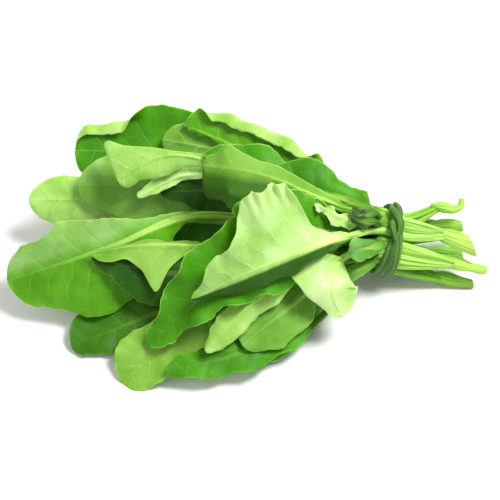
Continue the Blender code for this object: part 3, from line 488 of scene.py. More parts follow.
def refined(rows, times):
    """A grid with straight steps added between its points."""
    for axis in (0, 1):
        count = rows.shape[axis]
        at = np.linspace(0, count - 1, (count - 1) * times + 1)
        low = np.minimum(at.astype(int), count - 2)
        part = (at - low).reshape([-1 if n == axis else 1 for n in range(rows.ndim)])
        rows = np.take(rows, low, axis) * (1 - part) + np.take(rows, low + 1, axis) * part
    return rows


def lay_leaves():
    """How far each leaf's grid is pushed out, just enough to lie over those before it."""
    wide = int((MAP_ALONG[1] - MAP_ALONG[0]) / CELL)
    tall = int((MAP_UP[1] - MAP_UP[0]) / CELL)
    up = MAP_UP[0] + (np.arange(tall) + 0.5) * CELL
    table = (-PLANE_HEIGHT - up * math.cos(LEAN)) / math.sin(LEAN) - TABLE_GIVE
    top = np.tile(table, (wide, 1))
    laid = []
    for entry in LEAVES:
        down, across = stations(entry)
        points, outer, inner = middle_surface(entry, down, across)
        neck = midrib(entry)[4]
        fine = refined(points, REFINE)
        column = np.clip(((fine[..., 0] - MAP_ALONG[0]) / CELL).astype(int), 1, wide - 2)
        row = np.clip(((fine[..., 1] - MAP_UP[0]) / CELL).astype(int), 1, tall - 2)
        steps = [(a, b) for a in (-1, 0, 1) for b in (-1, 0, 1)]
        below = np.max([top[column + a, row + b] for a, b in steps], axis=0)
        need = below + LAY_GAP + refined(inner, REFINE) - fine[..., 2]
        lift = np.zeros(points.shape[:2])
        for a, b in np.ndindex(lift.shape):
            rows = slice(max(a - 1, 0) * REFINE, (a + 1) * REFINE + 1)
            columns = slice(max(b - 1, 0) * REFINE, (b + 1) * REFINE + 1)
            lift[a, b] = need[rows, columns].max()
        ease = ramp(down - neck, HELD_TO, FREE_FROM - HELD_TO)[:, None]
        least = np.maximum(lift, 0) * ease
        push = least.copy()
        for _ in range(SMOOTHINGS):
            edge = np.pad(push, 1, mode="edge")
            mean = (edge[:-2, 1:-1] + edge[2:, 1:-1] + edge[1:-1, :-2] + edge[1:-1, 2:] + 2 * push) / 6
            push = np.maximum(least, mean * ease ** HELD_POWER)
        if entry["roll"]:
            over_it = across > ROLL_FROM / 2
            push[:, over_it] = push[:, over_it].max(axis=1, keepdims=True)
        points[..., 2] += push
        sunk = np.maximum(REST_HALF - over_table(points)[..., 2:], 0)
        points += sunk * TABLE_UP
        laid.append((entry, push))
        front = refined(points, REFINE)[..., 2] + refined(outer, REFINE)
        clear = refined(np.repeat(down[:, None], len(across), 1), REFINE) > neck - BEHIND_NECK
        np.maximum.at(top, (column[clear], row[clear]), front[clear])
    return laid


def tube(centres, ways, facing, radii, corners, squash=1.0, closed=False):
    """Closed skin swept along the centres: corner points and triangles.

    Each ring's long half axis is square to its way and its facing, and its short one lies along its facing.
    """
    turns = 2 * math.pi * np.arange(corners)[:, None] / corners
    rings = []
    for centre, way, face, radius in zip(centres, ways, facing, radii):
        flat = unit(face - (face @ way) * way)
        side = np.cross(way, flat)
        rings.append(centre + radius * (np.cos(turns) * side + squash * np.sin(turns) * flat))
    triangles = []
    for ring in range(len(rings) if closed else len(rings) - 1):
        here = ring * corners
        ahead = (ring + 1) % len(rings) * corners
        for n in range(corners):
            m = (n + 1) % corners
            triangles += [(here + n, ahead + m, here + m), (here + n, ahead + n, ahead + m)]
    if not closed:
        last = (len(rings) - 1) * corners
        triangles += [(0, n, n + 1) for n in range(1, corners - 1)]
        triangles += [(last, last + n + 1, last + n) for n in range(1, corners - 1)]
    return np.vstack(rings), triangles


def crown_skin(plant, rings, sides):
    """The cut crown that a plant's stalks grow from."""
    path, radii, slant = CROWNS[plant]
    line, far, marks = smooth_line(path)
    at = np.linspace(0, far[-1], rings)
    centres = between(at, far, line)
    ways = unit(np.gradient(centres, axis=0))
    facing = np.repeat(RIGHT_OUT[None], rings, 0)
    around = soft_curve(np.array(marks), np.array(radii, float), at)
    points, triangles = tube(centres, ways, facing, around, sides)
    ring = np.repeat(np.arange(rings), sides)
    across = (points - centres[ring])[:, 1]
    shear = (ring / (rings - 1)) ** 3 * slant * across
    return resting(over_table(points - shear[:, None] * ways[ring])), triangles


def band_skin(tilt, shift, outside, spans, sides):
    """One turn of the tie, which fans out from the knot toward the far side of the neck."""
    angles = 2 * math.pi * np.arange(spans) / spans
    half_wide = NECK_HALF_WIDE + TIE_GAP + BAND_THICK / 2 + outside
    half_tall = NECK_HALF_TALL + TIE_GAP + BAND_THICK / 2 + outside
    centres = np.array([around_neck(angle, half_wide, half_tall) for angle in angles])
    fan = np.maximum(np.sin(angles - KNOT_ANGLE), 0)[:, None]
    centres = centres + (shift + tilt * fan) * NECK_WAY
    ways = unit(np.roll(centres, -1, 0) - np.roll(centres, 1, 0))
    facing = unit(centres - NECK - ((centres - NECK) @ NECK_WAY)[:, None] * NECK_WAY)
    radii = np.full(spans, BAND_WIDE / 2)
    points, triangles = tube(centres, ways, facing, radii, sides, BAND_THICK / BAND_WIDE, closed=True)
    return over_table(points), triangles


def strand_skin(phase, rings, sides):
    """One of the two strands that are twisted into the knot over the turns of the tie."""
    share = np.linspace(0, 1, rings)
    angles = KNOT_ANGLE + KNOT_REACH * (2 * share - 1)
    turn = 2 * math.pi * (share + phase)
    size = np.sin(math.pi * (KNOT_END + (1 - 2 * KNOT_END) * share)) ** KNOT_POWER
    centres = []
    for angle, twist, width in zip(angles, turn, size):
        out = KNOT_OUT + KNOT_TWIST * math.cos(twist) * width
        place = around_neck(angle, NECK_HALF_WIDE + out, NECK_HALF_TALL + out)
        centres.append(place + (KNOT_SHIFT + KNOT_ALONG * math.sin(twist) * width) * NECK_WAY)
    centres = np.array(centres)
    ways = unit(np.gradient(centres, axis=0))
    points, triangles = tube(centres, ways, unit(centres - NECK), KNOT_RADIUS * size, sides)
    return over_table(points), triangles


# Fine grids: length of a stalk's and a blade's face, width of a face, and the fewest faces across a half
STALK_FACE = 2.6
BLADE_FACE = 1.15
FACE_WIDE = 1.15
LEAST_COLUMNS = 6

# Fine rings of the crowns, the tie's turns and its knot: rings and sides, and the size of a tube's pattern
CROWN_FINE = (44, 40)
BAND_FINE = (150, 20)
STRAND_FINE = (70, 24)
STRAND_PHASES = (0.0, 0.5)
STRAND_SEED = 5
TUBE_ROUND = 24.0
TUBE_EDGE = 9.0

# Side veins, in millimetres, and the blade's rise between them
VEIN_SPACING = 14.0
VEIN_RISE = 0.75
VEIN_CURVE = 0.007
VEIN_STRETCH = (0.85, 1.2)
QUILT_POWER = 0.8
QUILT_FROM = 0.15
QUILT_END = 8

# Wave lengths of the blade's swell and of its margin's frill and teeth, and where across it these start
SWELL_WAVES = (23.0, 34.0, 51.0)
FRILL_WAVES = (9.0, 13.0, 21.0)
TOOTH_WAVES = (9.5, 14.0, 27.0)
FRILL_FROM = 0.45
TOOTH_FROM = 0.6
TIP_EDGE = 0.3

# How much a leaf's margin is frilled, where it isn't as much as the others
FRILLED = {"middle_large": 1.3, "top_frill": 1.4, "upper_middle": 0.8, "big_left": 0.7, "far_left": 0.6,
           "low_left": 1.8, "left_round": 0.5, "top_round": 0.6, "left_point": 0.5, "right_low": 0.5,
           "oval": 0.5, "tent": 0.4}

# Margins that lie smooth
CALM = {("front", 1): 0.12, ("left_point", 0): 0.3, ("upper_middle", 0): 0.5}

# Grooves along the stalks, and the midrib: its half width at the crown, the neck, the base and the tip, how
# round it is, and how deep the other face is hollowed under it
STALK_GROOVE = 0.05
STALK_GROOVES = 5
RIB_HALVES = (2.5, 2.5, 2.4, 0.4)
RIB_ROUND = 0.75
RIB_HOLLOW = 0.18
MARGIN_THINNER = 0.55

# Pleats of a margin: half of the blade, where they start and end along it, their rise and their length
PLEATS = {"front": (0, 0.22, 0.52, 2.2, 5.5), "torn": (1, 0.05, 0.95, 0.9, 4.5),
          "inner_serrated": (0, 0.2, 0.8, 0.8, 5.0)}
UNPLEATED = (-1, 0, 1, 0, 1)
PLEAT_EASE = 0.05
PLEAT_UNEVEN = (0.6, 5.0)
PLEAT_FROM = 0.55
PLEAT_TOOTH = 0.4
PLEAT_TOOTH_FROM = 0.7

# Face colours of each tone: upper side, underside. The deep and dark tones are painted shade, given to the
# leaves inside and under the bunch
TONES = {
    "pale": ((0.28, 0.54, 0.09), (0.49, 0.74, 0.27)),
    "light": ((0.25, 0.48, 0.07), (0.35, 0.60, 0.14)),
    "fresh": ((0.14, 0.42, 0.020), (0.23, 0.46, 0.065)),
    "rich": ((0.105, 0.35, 0.008), (0.36, 0.62, 0.14)),
    "bright": ((0.060, 0.27, 0.003), (0.38, 0.66, 0.14)),
    "matte": ((0.12, 0.33, 0.05), (0.16, 0.38, 0.05)),
    "deep": ((0.045, 0.18, 0.004), (0.13, 0.38, 0.03)),
    "dark": ((0.016, 0.085, 0.002), (0.045, 0.21, 0.010)),
}

# How far a leaf's lightness may vary, and how much lighter its base and its margin are
LIGHTNESS = (0.94, 1.06)
BASE_LIGHTER = 0.15
MARGIN_LIGHTER = 0.08

# Halves with a painted whitish sheen, standing for the light that falls on them, and how much
PAINTED_SHEEN = {"big_left": (0, 0.32), "left_round": (0, 0.12)}
PAINTED_SHEEN_WIDTH = 8.0
PAINTED_SHEEN_COLOUR = (0.56, 0.76, 0.36)

# Brightness of a leaf's tip and of a whole leaf, where it isn't 1
TIP_DIM = {"front": 0.62, "upper_middle": 0.85}
TIP_POWER = 1.5
LEAF_DIM = {"upper_middle": 0.88, "left_point": 0.86, "neck_curl": 0.7, "neck_bit": 0.7, "neck_low": 0.8,
            "left_round": 1.12, "low_tip": 0.92}

# Leaves whose veins show less
VEINED = {"low_left": 0.3, "bottom_long": 0.3, "oval": 0.4, "curled": 0.45, "low_tip": 0.6,
          "left_round": 0.5, "inner_dark": 0.3, "tent_inside": 0.3, "tent": 0.6, "front": 0.8,
          "right_low": 0.7, "middle_large": 0.7, "top_near": 0.6}

# Halves in shade: half of the blade, where across it they start and end to darken, and their brightness
SHADED = {"front": (1, 0.10, 0.22, 0.16), "upper_middle": (1, 0.02, 0.30, 0.32), "tent": (0, 0.2, 0.8, 0.8),
          "curled": (0, 0.1, 0.8, 0.6), "left_point": (1, 0.6, 1.0, 0.75)}
UNSHADED = (0, 0.0, 1.0, 1.0)

# Painted shade on the stalks between the tie and the blades: their brightness, then that of all others, and
# where it starts
STALK_DIM = {"front": 1.0, "upper_middle": 0.8, "top_near": 0.6, "big_left": 0.8, "right_low": 0.7}
STALK_SHADE = 0.38
SHADE_AFTER = 4.0
SHADE_OVER = 10.0

# Painted shade on the low and back plants: brightness of each plant's crown and of its stalks up to the tie,
# and how far it takes to set in
CROWN_DIM = {"a": 0.95, "b": 1.0, "c": 1.0, "d": 0.62, "e": 0.6, "f": 0.7}
CROWN_OVER = 6.0

# Tints of the leaf's darker and lighter patches, grain and veins, and powers of its red and blue in shade
DARKER = (0.72, 0.82, 0.5, 1.0)
LIGHTER = (1.16, 1.08, 1.25, 1.0)
GRAINED = (0.72, 0.8, 0.55, 1.0)
BRIGHTER = (1.5, 1.3, 1.7, 1.0)
DIM_RED = 1.45
DIM_BLUE = 2.0

# Patterns of the leaf, as their number in a millimetre, and how far apart those of two leaves may start
SEED_TO = 500.0
DRIFT_SCALE = 0.07
PATCH_SCALE = 0.05
NET_SCALE = 0.17
FINE_NET_SCALE = 0.55
GRAIN_SCALE = 1.3
STALK_LINES = (1.5, 0.025)
TIE_LINES = (1.3, 0.12, 0.04)

# How far side veins wander, how strongly they show and how much more from below, and the nets, grain and rib
VEIN_DRIFT = 0.7
VEIN_SHOWS = 0.20
VEIN_BELOW = 0.12
NET_SHOWS = 0.055
FINE_NET_SHOWS = 0.03
GRAIN_SHOWS = 0.14
RIB_PALE = 0.75
UNDER_ROUGHER = 0.14


def smooth_refine(rows, down_at, across_at):
    """A grid's values between its points, along soft curves."""
    for at in (down_at, across_at):
        knots = np.arange(len(rows), dtype=float)
        rows = np.stack([soft_curve(knots, column, at) for column in rows.T])
    return rows


def waves(at, lengths, chance):
    """Uneven waves along a line, between about -1 and 1."""
    total = np.zeros_like(at)
    for length in lengths:
        size = chance.uniform(0.6, 1.0)
        total += size * np.sin(2 * math.pi * (at / length + chance.uniform(0, 1)))
    return total / len(lengths)


def side_vein(across_mm, along_mm):
    """Count of side veins passed at a point of a blade; whole numbers lie on a vein."""
    reach = np.abs(across_mm)
    lines = (along_mm - VEIN_RISE * reach + VEIN_CURVE * reach ** 2) / VEIN_SPACING
    return lines + 0.5 * (across_mm > 0)


def fine_stations(entry):
    """Distances along a leaf and places across it where its fine grid has points."""
    _, far, _, _, _, base = midrib(entry)
    blade_rows = int((far[-1] - base) / (BLADE_FACE * entry["coarse"]))
    stalk_rows = int(base / (STALK_FACE * entry["coarse"]))
    columns = int(max(*entry["upper"], *entry["lower"]) / (FACE_WIDE * entry["coarse"]))
    down = np.concatenate([np.linspace(0, base, stalk_rows, endpoint=False),
                           base + (far[-1] - base) * crowded(blade_rows)])
    return down, np.linspace(-1, 1, 2 * max(columns, LEAST_COLUMNS) + 1)


def margin(entry, half, down, part, reach, sizes, chance):
    """How far one margin rises and stands out, with its frill, teeth and pleats."""
    name = entry["name"]
    amount = FRILLED.get(name, 1.0) * CALM.get((name, half), 1.0)
    frill = amount * sizes["frill"] * waves(down, FRILL_WAVES, chance)[:, None]
    frill = frill * ramp(reach, FRILL_FROM, 1 - FRILL_FROM) ** 2
    tooth = amount * sizes["jag"] * (np.abs(waves(down, TOOTH_WAVES, chance)) - 0.5)[:, None]
    tooth = tooth * ramp(reach, TOOTH_FROM, 1 - TOOTH_FROM)
    pleated, start, stop, size, length = PLEATS.get(name, UNPLEATED)
    if pleated == half:
        inside = ramp(part, start, PLEAT_EASE) * ramp(stop - part, 0, PLEAT_EASE)
        uneven, spacing = PLEAT_UNEVEN
        pleat = np.sin(2 * math.pi * down[:, None] / length + uneven * np.sin(down[:, None] / spacing))
        frill = frill + size * inside * pleat * ramp(reach, PLEAT_FROM, 1 - PLEAT_FROM) ** 1.5
        stands = ramp(reach, PLEAT_TOOTH_FROM, 1 - PLEAT_TOOTH_FROM)
        tooth = tooth + PLEAT_TOOTH * size * inside * np.abs(pleat) * stands
    return frill, tooth


def dimmed(value, share):
    """1 where the share is 0, and the value where it is 1."""
    return 1 - (1 - value) * share


def brightness(entry, down, neck, part, across, blade):
    """Painted shade: how brightly each point of a leaf shows, less on shaded halves, bare stalks past the tie
    and by the low and back crowns.
    """
    name = entry["name"]
    half, start, stop, least = SHADED.get(name, UNSHADED)
    turned = ramp(np.abs(across), start, stop - start) * ((across > 0) == (half == 0))
    past_neck = ramp(down - neck, SHADE_AFTER, SHADE_OVER)[:, None] * (1 - blade)
    before_neck = ramp(neck - down, 0, CROWN_OVER)[:, None]
    dim = dimmed(least, turned[None] * blade)
    dim = dim * dimmed(TIP_DIM.get(name, 1.0), part ** TIP_POWER) * LEAF_DIM.get(name, 1.0)
    dim = dim * dimmed(STALK_DIM.get(name, STALK_SHADE), past_neck)
    return dim * dimmed(CROWN_DIM[entry["plant"]], before_neck)


def fine_leaf(entry, push, sizes, chance):
    """A leaf's finely divided middle surface with its thicknesses and the marks that its finish needs."""
    _, far, _, _, neck, base = midrib(entry)
    end = far[-1]
    coarse_down, coarse_across = stations(entry)
    down, across = fine_stations(entry)
    points, outer, inner = middle_surface(entry, down, across)
    rows_at = np.interp(down, coarse_down, np.arange(len(coarse_down)))
    columns_at = np.interp(across, coarse_across, np.arange(len(coarse_across)))
    points[..., 2] += smooth_refine(push, rows_at, columns_at)

    width = np.linalg.norm(np.diff(points, axis=1), axis=2)
    width = np.concatenate([np.zeros((len(down), 1)), np.cumsum(width, axis=1)], axis=1)
    middle = len(across) // 2
    across_mm = width - width[:, middle:middle + 1]
    edge_mm = np.minimum(width, width[:, -1:] - width)
    edge_mm = np.minimum(edge_mm, (end - np.maximum(down, base))[:, None] + TIP_EDGE)
    part = ramp(down, base, end - base)[:, None]
    blade = ramp(down, base, 2 * OPENING)[:, None]
    flat = ramp(down, base, FLAT_AFTER)[:, None]
    reach = np.abs(across)[None]
    along_mm = down[:, None] * chance.uniform(*VEIN_STRETCH)
    along_mm = along_mm + chance.uniform(0, VEIN_SPACING)

    normal = unit(np.cross(np.gradient(points, axis=1), np.gradient(points, axis=0)))
    outside = unit(np.gradient(points, axis=1)) * np.sign(across)[None, :, None]
    quilt = np.abs(np.sin(math.pi * side_vein(across_mm, along_mm))) ** QUILT_POWER
    window = ramp(reach, 0, QUILT_FROM) * (1 - reach ** 3) * blade * np.minimum(1, QUILT_END * (1 - part))
    swell = waves(down, SWELL_WAVES, chance)[:, None] * np.sin(math.pi * across)[None]
    rise = sizes["swell"] * swell * blade - entry["under"] * sizes["quilt"] * quilt * window
    jag = np.zeros_like(rise)
    for half, here in enumerate((across > 0, across < 0)):
        frill, tooth = margin(entry, half, down, part, reach, sizes, chance)
        rise[:, here] += (frill * blade)[:, here]
        jag[:, here] += (tooth * blade)[:, here]
    points = points + normal * rise[..., None] + outside * jag[..., None]

    rib = np.interp(down, [0, neck, base, end], RIB_HALVES)[:, None]
    ridge = rib * sizes["rib"] * np.exp(-(across_mm / (RIB_ROUND * rib)) ** 2) * flat
    groove = 1 + STALK_GROOVE * np.cos(across * STALK_GROOVES * math.pi)[None] * (1 - flat)
    taper = 1 - MARGIN_THINNER * reach ** 4 * flat
    ridges = (ridge, -RIB_HOLLOW * ridge)[::entry["under"]]
    outer, inner = ((face * (1 - flat) * groove + flat * sizes["blade"] / 2 + raised) * taper
                    for face, raised in zip((outer, inner), ridges))
    marks = {"across": across_mm, "along": along_mm, "part": part, "edge": edge_mm, "reach": reach,
             "rib": rib, "blade": flat, "seed": chance.uniform(0, SEED_TO),
             "veined": VEINED.get(entry["name"], 1.0),
             "dim": brightness(entry, down, neck, part, across, blade)}
    marks = {key: np.broadcast_to(values, outer.shape) for key, values in marks.items()}
    return points, outer, inner, normal, marks


def grid_faces(rows, columns):
    """Corner numbers of a leaf's faces: front, back and rim."""
    number = np.arange(rows * columns).reshape(rows, columns)
    shift = rows * columns
    front = np.stack([number[:-1, :-1], number[:-1, 1:], number[1:, 1:], number[1:, :-1]], -1).reshape(-1, 4)
    back = front[:, (0, 3, 2, 1)] + shift
    rim = np.concatenate([number[:, 0], number[-1, 1:], number[-2::-1, -1], number[0, -2:0:-1]])
    ahead = np.roll(rim, -1)
    edge = np.stack([rim, ahead, ahead + shift, rim + shift], 1)
    return np.vstack([front, back, edge])


MARKS = ("across", "along", "reach", "edge", "rib", "blade", "upper", "seed", "dim", "veined")


class PieceMaker:
    """Gathers corner points, faces and marks into one mesh."""

    def __init__(self):
        self.points = []
        self.faces = []
        self.marks = {}
        self.count = 0

    def add(self, points, faces, marks):
        """Adds points over the table in millimetres, faces, and a value or colour a point for every mark."""
        self.faces += [[int(n) + self.count for n in face] for face in faces]
        self.points.append(points)
        for name, values in marks.items():
            self.marks.setdefault(name, []).append(values)
        self.count += len(points)

    def make(self, name, material, slot, node):
        """Makes the finished piece, riding on the part's body."""
        points = (np.vstack(self.points) - REST_SPOT) * METRES
        mesh = bpy.data.meshes.new(name)
        mesh.from_pydata(points.tolist(), [], self.faces)
        marks = {key: np.concatenate(values) for key, values in self.marks.items()}
        colour = mesh.attributes.new("leaf_tint", "FLOAT_COLOR", "POINT")
        tint = np.ones((len(points), 4), np.float32)
        tint[:, :3] = marks["tint"]
        colour.data.foreach_set("color", tint.ravel())
        for key in MARKS:
            layer = mesh.attributes.new("leaf_" + key, "FLOAT", "POINT")
            layer.data.foreach_set("value", marks[key].astype(np.float32))
        mesh.polygons.foreach_set("use_smooth", np.ones(len(mesh.polygons), bool))
        mesh.materials.append(material)
        piece = bpy.data.objects.new(name, mesh)
        bpy.context.scene.collection.objects.link(piece)
        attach(piece, "root")
        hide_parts(node)


class Shader:
    """Short ways to lay out a material's nodes."""

    def __init__(self, name):
        self.material = bpy.data.materials.new(name)
        self.material.use_nodes = True
        self.tree = self.material.node_tree
        self.surface = self.tree.nodes["Principled BSDF"]

    def node(self, kind, inputs=None, **settings):
        """A node with its settings, and its inputs set or linked."""
        made = self.tree.nodes.new(kind)
        for key, value in settings.items():
            setattr(made, key, value)
        for key, value in (inputs or {}).items():
            self.feed(made.inputs[key], value)
        return made

    def feed(self, socket, value):
        """Links an output to a socket, or sets the socket."""
        if isinstance(value, bpy.types.NodeSocket):
            self.tree.links.new(value, socket)
        else:
            socket.default_value = value

    def maths(self, operation, first, second=0.0, third=0.0):
        """One sum; a fixed number goes straight on its socket."""
        made = self.node("ShaderNodeMath", operation=operation)
        for socket, value in zip(made.inputs, (first, second, third)):
            self.feed(socket, value)
        return made.outputs[0]

    def times(self, first, *others):
        """The product of the values."""
        for other in others:
            first = self.maths("MULTIPLY", first, other)
        return first

    def plus(self, first, *others):
        """The sum of the values."""
        for other in others:
            first = self.maths("ADD", first, other)
        return first

    def step(self, value, low, high, at_low=0.0, at_high=1.0):
        """A soft step from one value to another."""
        made = self.node("ShaderNodeMapRange", interpolation_type="SMOOTHSTEP")
        for socket, number in zip(made.inputs, (value, low, high, at_low, at_high)):
            self.feed(socket, number)
        return made.outputs[0]

    def mark(self, name, output="Fac"):
        """A value or colour stored on the mesh."""
        return self.node("ShaderNodeAttribute", attribute_name="leaf_" + name).outputs[output]

    def spot(self, x, y, z):
        """A place in a pattern."""
        return self.node("ShaderNodeCombineXYZ", {"X": x, "Y": y, "Z": z}).outputs[0]

    def noise(self, spot, scale, detail, roughness=0.5):
        """A soft uneven pattern."""
        inputs = {"Vector": spot, "Scale": scale, "Detail": detail, "Roughness": roughness}
        return self.node("ShaderNodeTexNoise", inputs).outputs["Fac"]

    def net(self, spot, scale, thin, wide):
        """The lines of a net, full as far as thin and gone at wide."""
        inputs = {"Vector": spot, "Scale": scale}
        cells = self.node("ShaderNodeTexVoronoi", inputs, feature="DISTANCE_TO_EDGE")
        return self.step(cells.outputs["Distance"], thin, wide, 1.0, 0.0)

    def blend(self, factor, first, second, kind="MIX"):
        """Two colours mixed."""
        made = self.node("ShaderNodeMix", data_type="RGBA", blend_type=kind)
        self.feed(made.inputs[0], factor)
        self.feed(made.inputs[6], first)
        self.feed(made.inputs[7], second)
        return made.outputs[2]

    def tinted(self, colour, tint):
        """A colour multiplied by another."""
        return self.blend(1.0, colour, tint, "MULTIPLY")

    def bumps(self, height, strength, distance):
        """Small relief, its height in metres."""
        inputs = {"Height": height, "Strength": strength, "Distance": distance}
        return self.node("ShaderNodeBump", inputs).outputs[0]

    def finish(self, inputs):
        """The material with its surface's inputs set or linked."""
        for key, value in inputs.items():
            self.feed(self.surface.inputs[key], value)
        return self.material


def opaque(colour):
    """A colour with its alpha."""
    return (*colour, 1.0)


def leaf_finish(name, colours):
    """Fresh leaf: veins, soft drifts of green, a pale margin that is a painted highlight, painted shade and
    stalks with fine lines.
    """
    s = Shader(name)
    across, along, reach, edge, blade, upper, rib, seed, veined, dim = (s.mark(key) for key in (
        "across", "along", "reach", "edge", "blade", "upper", "rib", "seed", "veined", "dim"))
    tint = s.mark("tint", "Color")
    pale = opaque(colours["vein"])
    under = s.maths("SUBTRACT", 1.0, upper)
    on_stalk = s.maths("SUBTRACT", 1.0, blade)

    flat = s.spot(across, along, seed)
    far = s.maths("ABSOLUTE", across)
    lines = s.plus(s.maths("MULTIPLY_ADD", far, -VEIN_RISE, along), s.times(far, far, VEIN_CURVE))
    lines = s.plus(s.maths("DIVIDE", lines, VEIN_SPACING), s.times(s.maths("GREATER_THAN", across, 0.0), 0.5))
    drift = s.noise(flat, DRIFT_SCALE, 3.0)
    lines = s.plus(lines, s.maths("MULTIPLY_ADD", drift, VEIN_DRIFT, -VEIN_DRIFT / 2))
    beside = s.times(s.maths("PINGPONG", lines, 0.5), VEIN_SPACING)
    wide = s.step(reach, 0.1, 0.9, 0.75, 0.3)
    vein = s.step(s.maths("DIVIDE", beside, wide), 0.2, 1.2, 1.0, 0.0)
    vein = s.times(vein, s.step(reach, 0.5, 1.0, 1.0, 0.0), blade)
    small = s.times(s.net(flat, NET_SCALE, 0.005, 0.07), blade)
    tiny = s.times(s.net(flat, FINE_NET_SCALE, 0.01, 0.16), blade)
    grain = s.noise(flat, GRAIN_SCALE, 3.0)

    patches = s.step(s.noise(flat, PATCH_SCALE, 4.0, 0.55), 0.32, 0.68)
    body = s.blend(patches, s.tinted(tint, DARKER), s.tinted(tint, LIGHTER))
    body = s.blend(s.times(s.step(grain, 0.35, 0.75), GRAIN_SHOWS), body, s.tinted(body, GRAINED))
    showing = s.times(vein, s.maths("MULTIPLY_ADD", under, VEIN_BELOW, VEIN_SHOWS))
    showing = s.plus(showing, s.times(small, NET_SHOWS), s.times(tiny, FINE_NET_SHOWS))
    body = s.blend(s.times(showing, veined), body, s.blend(0.25, s.tinted(tint, BRIGHTER), pale))
    pale_rib = s.blend(RIB_PALE, tint, pale)
    # Painted highlight: a pale line along the margin, where light catches the edge
    body = s.blend(s.times(s.step(edge, 0.15, 0.7, 0.6, 0.0), blade, veined), body, pale_rib)

    wide, long = STALK_LINES
    fibre = s.noise(s.spot(s.times(across, wide), s.times(along, long), seed), 1.0, 3.0)
    stalk = s.blend(s.step(fibre, 0.42, 0.58), opaque(colours["stalk"]), opaque(colours["stripe"]))
    middle = s.step(s.maths("DIVIDE", far, rib), 0.5, 1.25, 1.0, 0.0)
    rib_shows = s.times(middle, veined, s.step(rib, 0.6, 2.2, 0.12, 0.85))
    body = s.blend(rib_shows, body, s.blend(blade, stalk, pale_rib))
    body = s.blend(on_stalk, body, s.blend(0.25, stalk, tint))
    # Painted shade: the colour darkened by the mesh's dim mark, red and blue more than green
    powers = {"Red": s.maths("POWER", dim, DIM_RED), "Green": dim, "Blue": s.maths("POWER", dim, DIM_BLUE)}
    body = s.tinted(body, s.node("ShaderNodeCombineColor", powers).outputs[0])

    turn = s.maths("MULTIPLY_ADD", upper, -2.0, 1.0)
    relief = s.times(s.plus(vein, s.times(small, 0.5)), turn)
    relief = s.plus(relief, s.times(tiny, turn, 0.2), s.times(grain, 0.25), s.times(fibre, on_stalk))
    return s.finish({
        "Base Color": body,
        "Roughness": s.plus(s.step(grain, 0.3, 0.8, 0.40, 0.55), s.times(under, UNDER_ROUGHER)),
        "Normal": s.bumps(relief, 0.5, 0.0003),
        "Specular IOR Level": 0.16,
        "Subsurface Weight": 0.25,
        "Subsurface Radius": (0.6, 1.0, 0.2),
        "Subsurface Scale": 0.002,
    })


def tie_finish(colours):
    """The tie: dark twisted leaf strip with long fibres."""
    s = Shader("tie_strip")
    across, along, seed = (s.mark(key) for key in ("across", "along", "seed"))
    wide, skewed, long = TIE_LINES
    skew = s.maths("MULTIPLY_ADD", along, skewed, s.times(across, wide))
    spot = s.spot(skew, s.times(along, long), seed)
    fibre = s.noise(spot, 1.0, 4.0)
    patches = s.step(s.noise(spot, 0.3, 2.0), 0.5, 0.8)
    body = s.blend(s.step(fibre, 0.38, 0.66), opaque(colours["tie_dark"]), opaque(colours["tie_light"]))
    body = s.blend(s.times(patches, 0.4), body, opaque(colours["stripe"]))
    return s.finish({
        "Base Color": body,
        "Roughness": s.step(fibre, 0.3, 0.8, 0.42, 0.62),
        "Normal": s.bumps(fibre, 0.8, 0.0006),
        "Specular IOR Level": 0.25,
    })


class SpinachSizes(bpy.types.PropertyGroup):
    """Fine sizes of the leaves."""

    blade: FloatProperty(name="Blade thickness", description="Thickness of a leaf's blade, in millimetres",
                         default=0.6, min=0.4, max=0.8)
    rib: FloatProperty(name="Rib height", description="Height of the midrib as a share of its half width",
                       default=0.62, min=0.0, max=1.0)
    quilt: FloatProperty(name="Quilting",
                         description="Rise of the blade between its side veins, in millimetres",
                         default=0.5, min=0.0, max=1.0)
    frill: FloatProperty(name="Edge frill", description="Small waves along the blade's edge, in millimetres",
                         default=1.2, min=0.0, max=2.0)
    jag: FloatProperty(name="Edge teeth", description="Uneven cut of the blade's outline, in millimetres",
                       default=1.2, min=0.0, max=2.0)
    swell: FloatProperty(name="Swell", description="Broad unevenness of the blade, in millimetres",
                         default=0.8, min=0.0, max=2.0)


class SpinachColours(bpy.types.PropertyGroup):
    """Colours of the stalks, veins and tie."""

    vein: FloatVectorProperty(name="Veins", description="Colour of the veins", subtype="COLOR",
                              default=(0.62, 0.88, 0.20))
    stalk: FloatVectorProperty(name="Stalks", description="Colour of the stalks", subtype="COLOR",
                               default=(0.56, 0.86, 0.17))
    stripe: FloatVectorProperty(name="Stalk lines", description="Colour of the lines along the stalks",
                                subtype="COLOR", default=(0.20, 0.48, 0.035))
    crown: FloatVectorProperty(name="Crowns", description="Colour of the crowns", subtype="COLOR",
                               default=(0.36, 0.62, 0.09))
    cut: FloatVectorProperty(name="Cut ends", description="Colour of the cut ends of the crowns",
                             subtype="COLOR", default=(0.34, 0.44, 0.11))
    tie_dark: FloatVectorProperty(name="Tie, dark", description="Dark colour of the tie", subtype="COLOR",
                                  default=(0.022, 0.085, 0.010))
    tie_light: FloatVectorProperty(name="Tie, light", description="Light colour of the tie", subtype="COLOR",
                                   default=(0.12, 0.27, 0.05))
    table: FloatVectorProperty(name="Table", description="Colour of the table", subtype="COLOR",
                               default=(0.9, 0.9, 0.9))


def chosen(group):
    """The values set in the panel, by name."""
    return {name: getattr(group, name) for name in type(group).__annotations__}


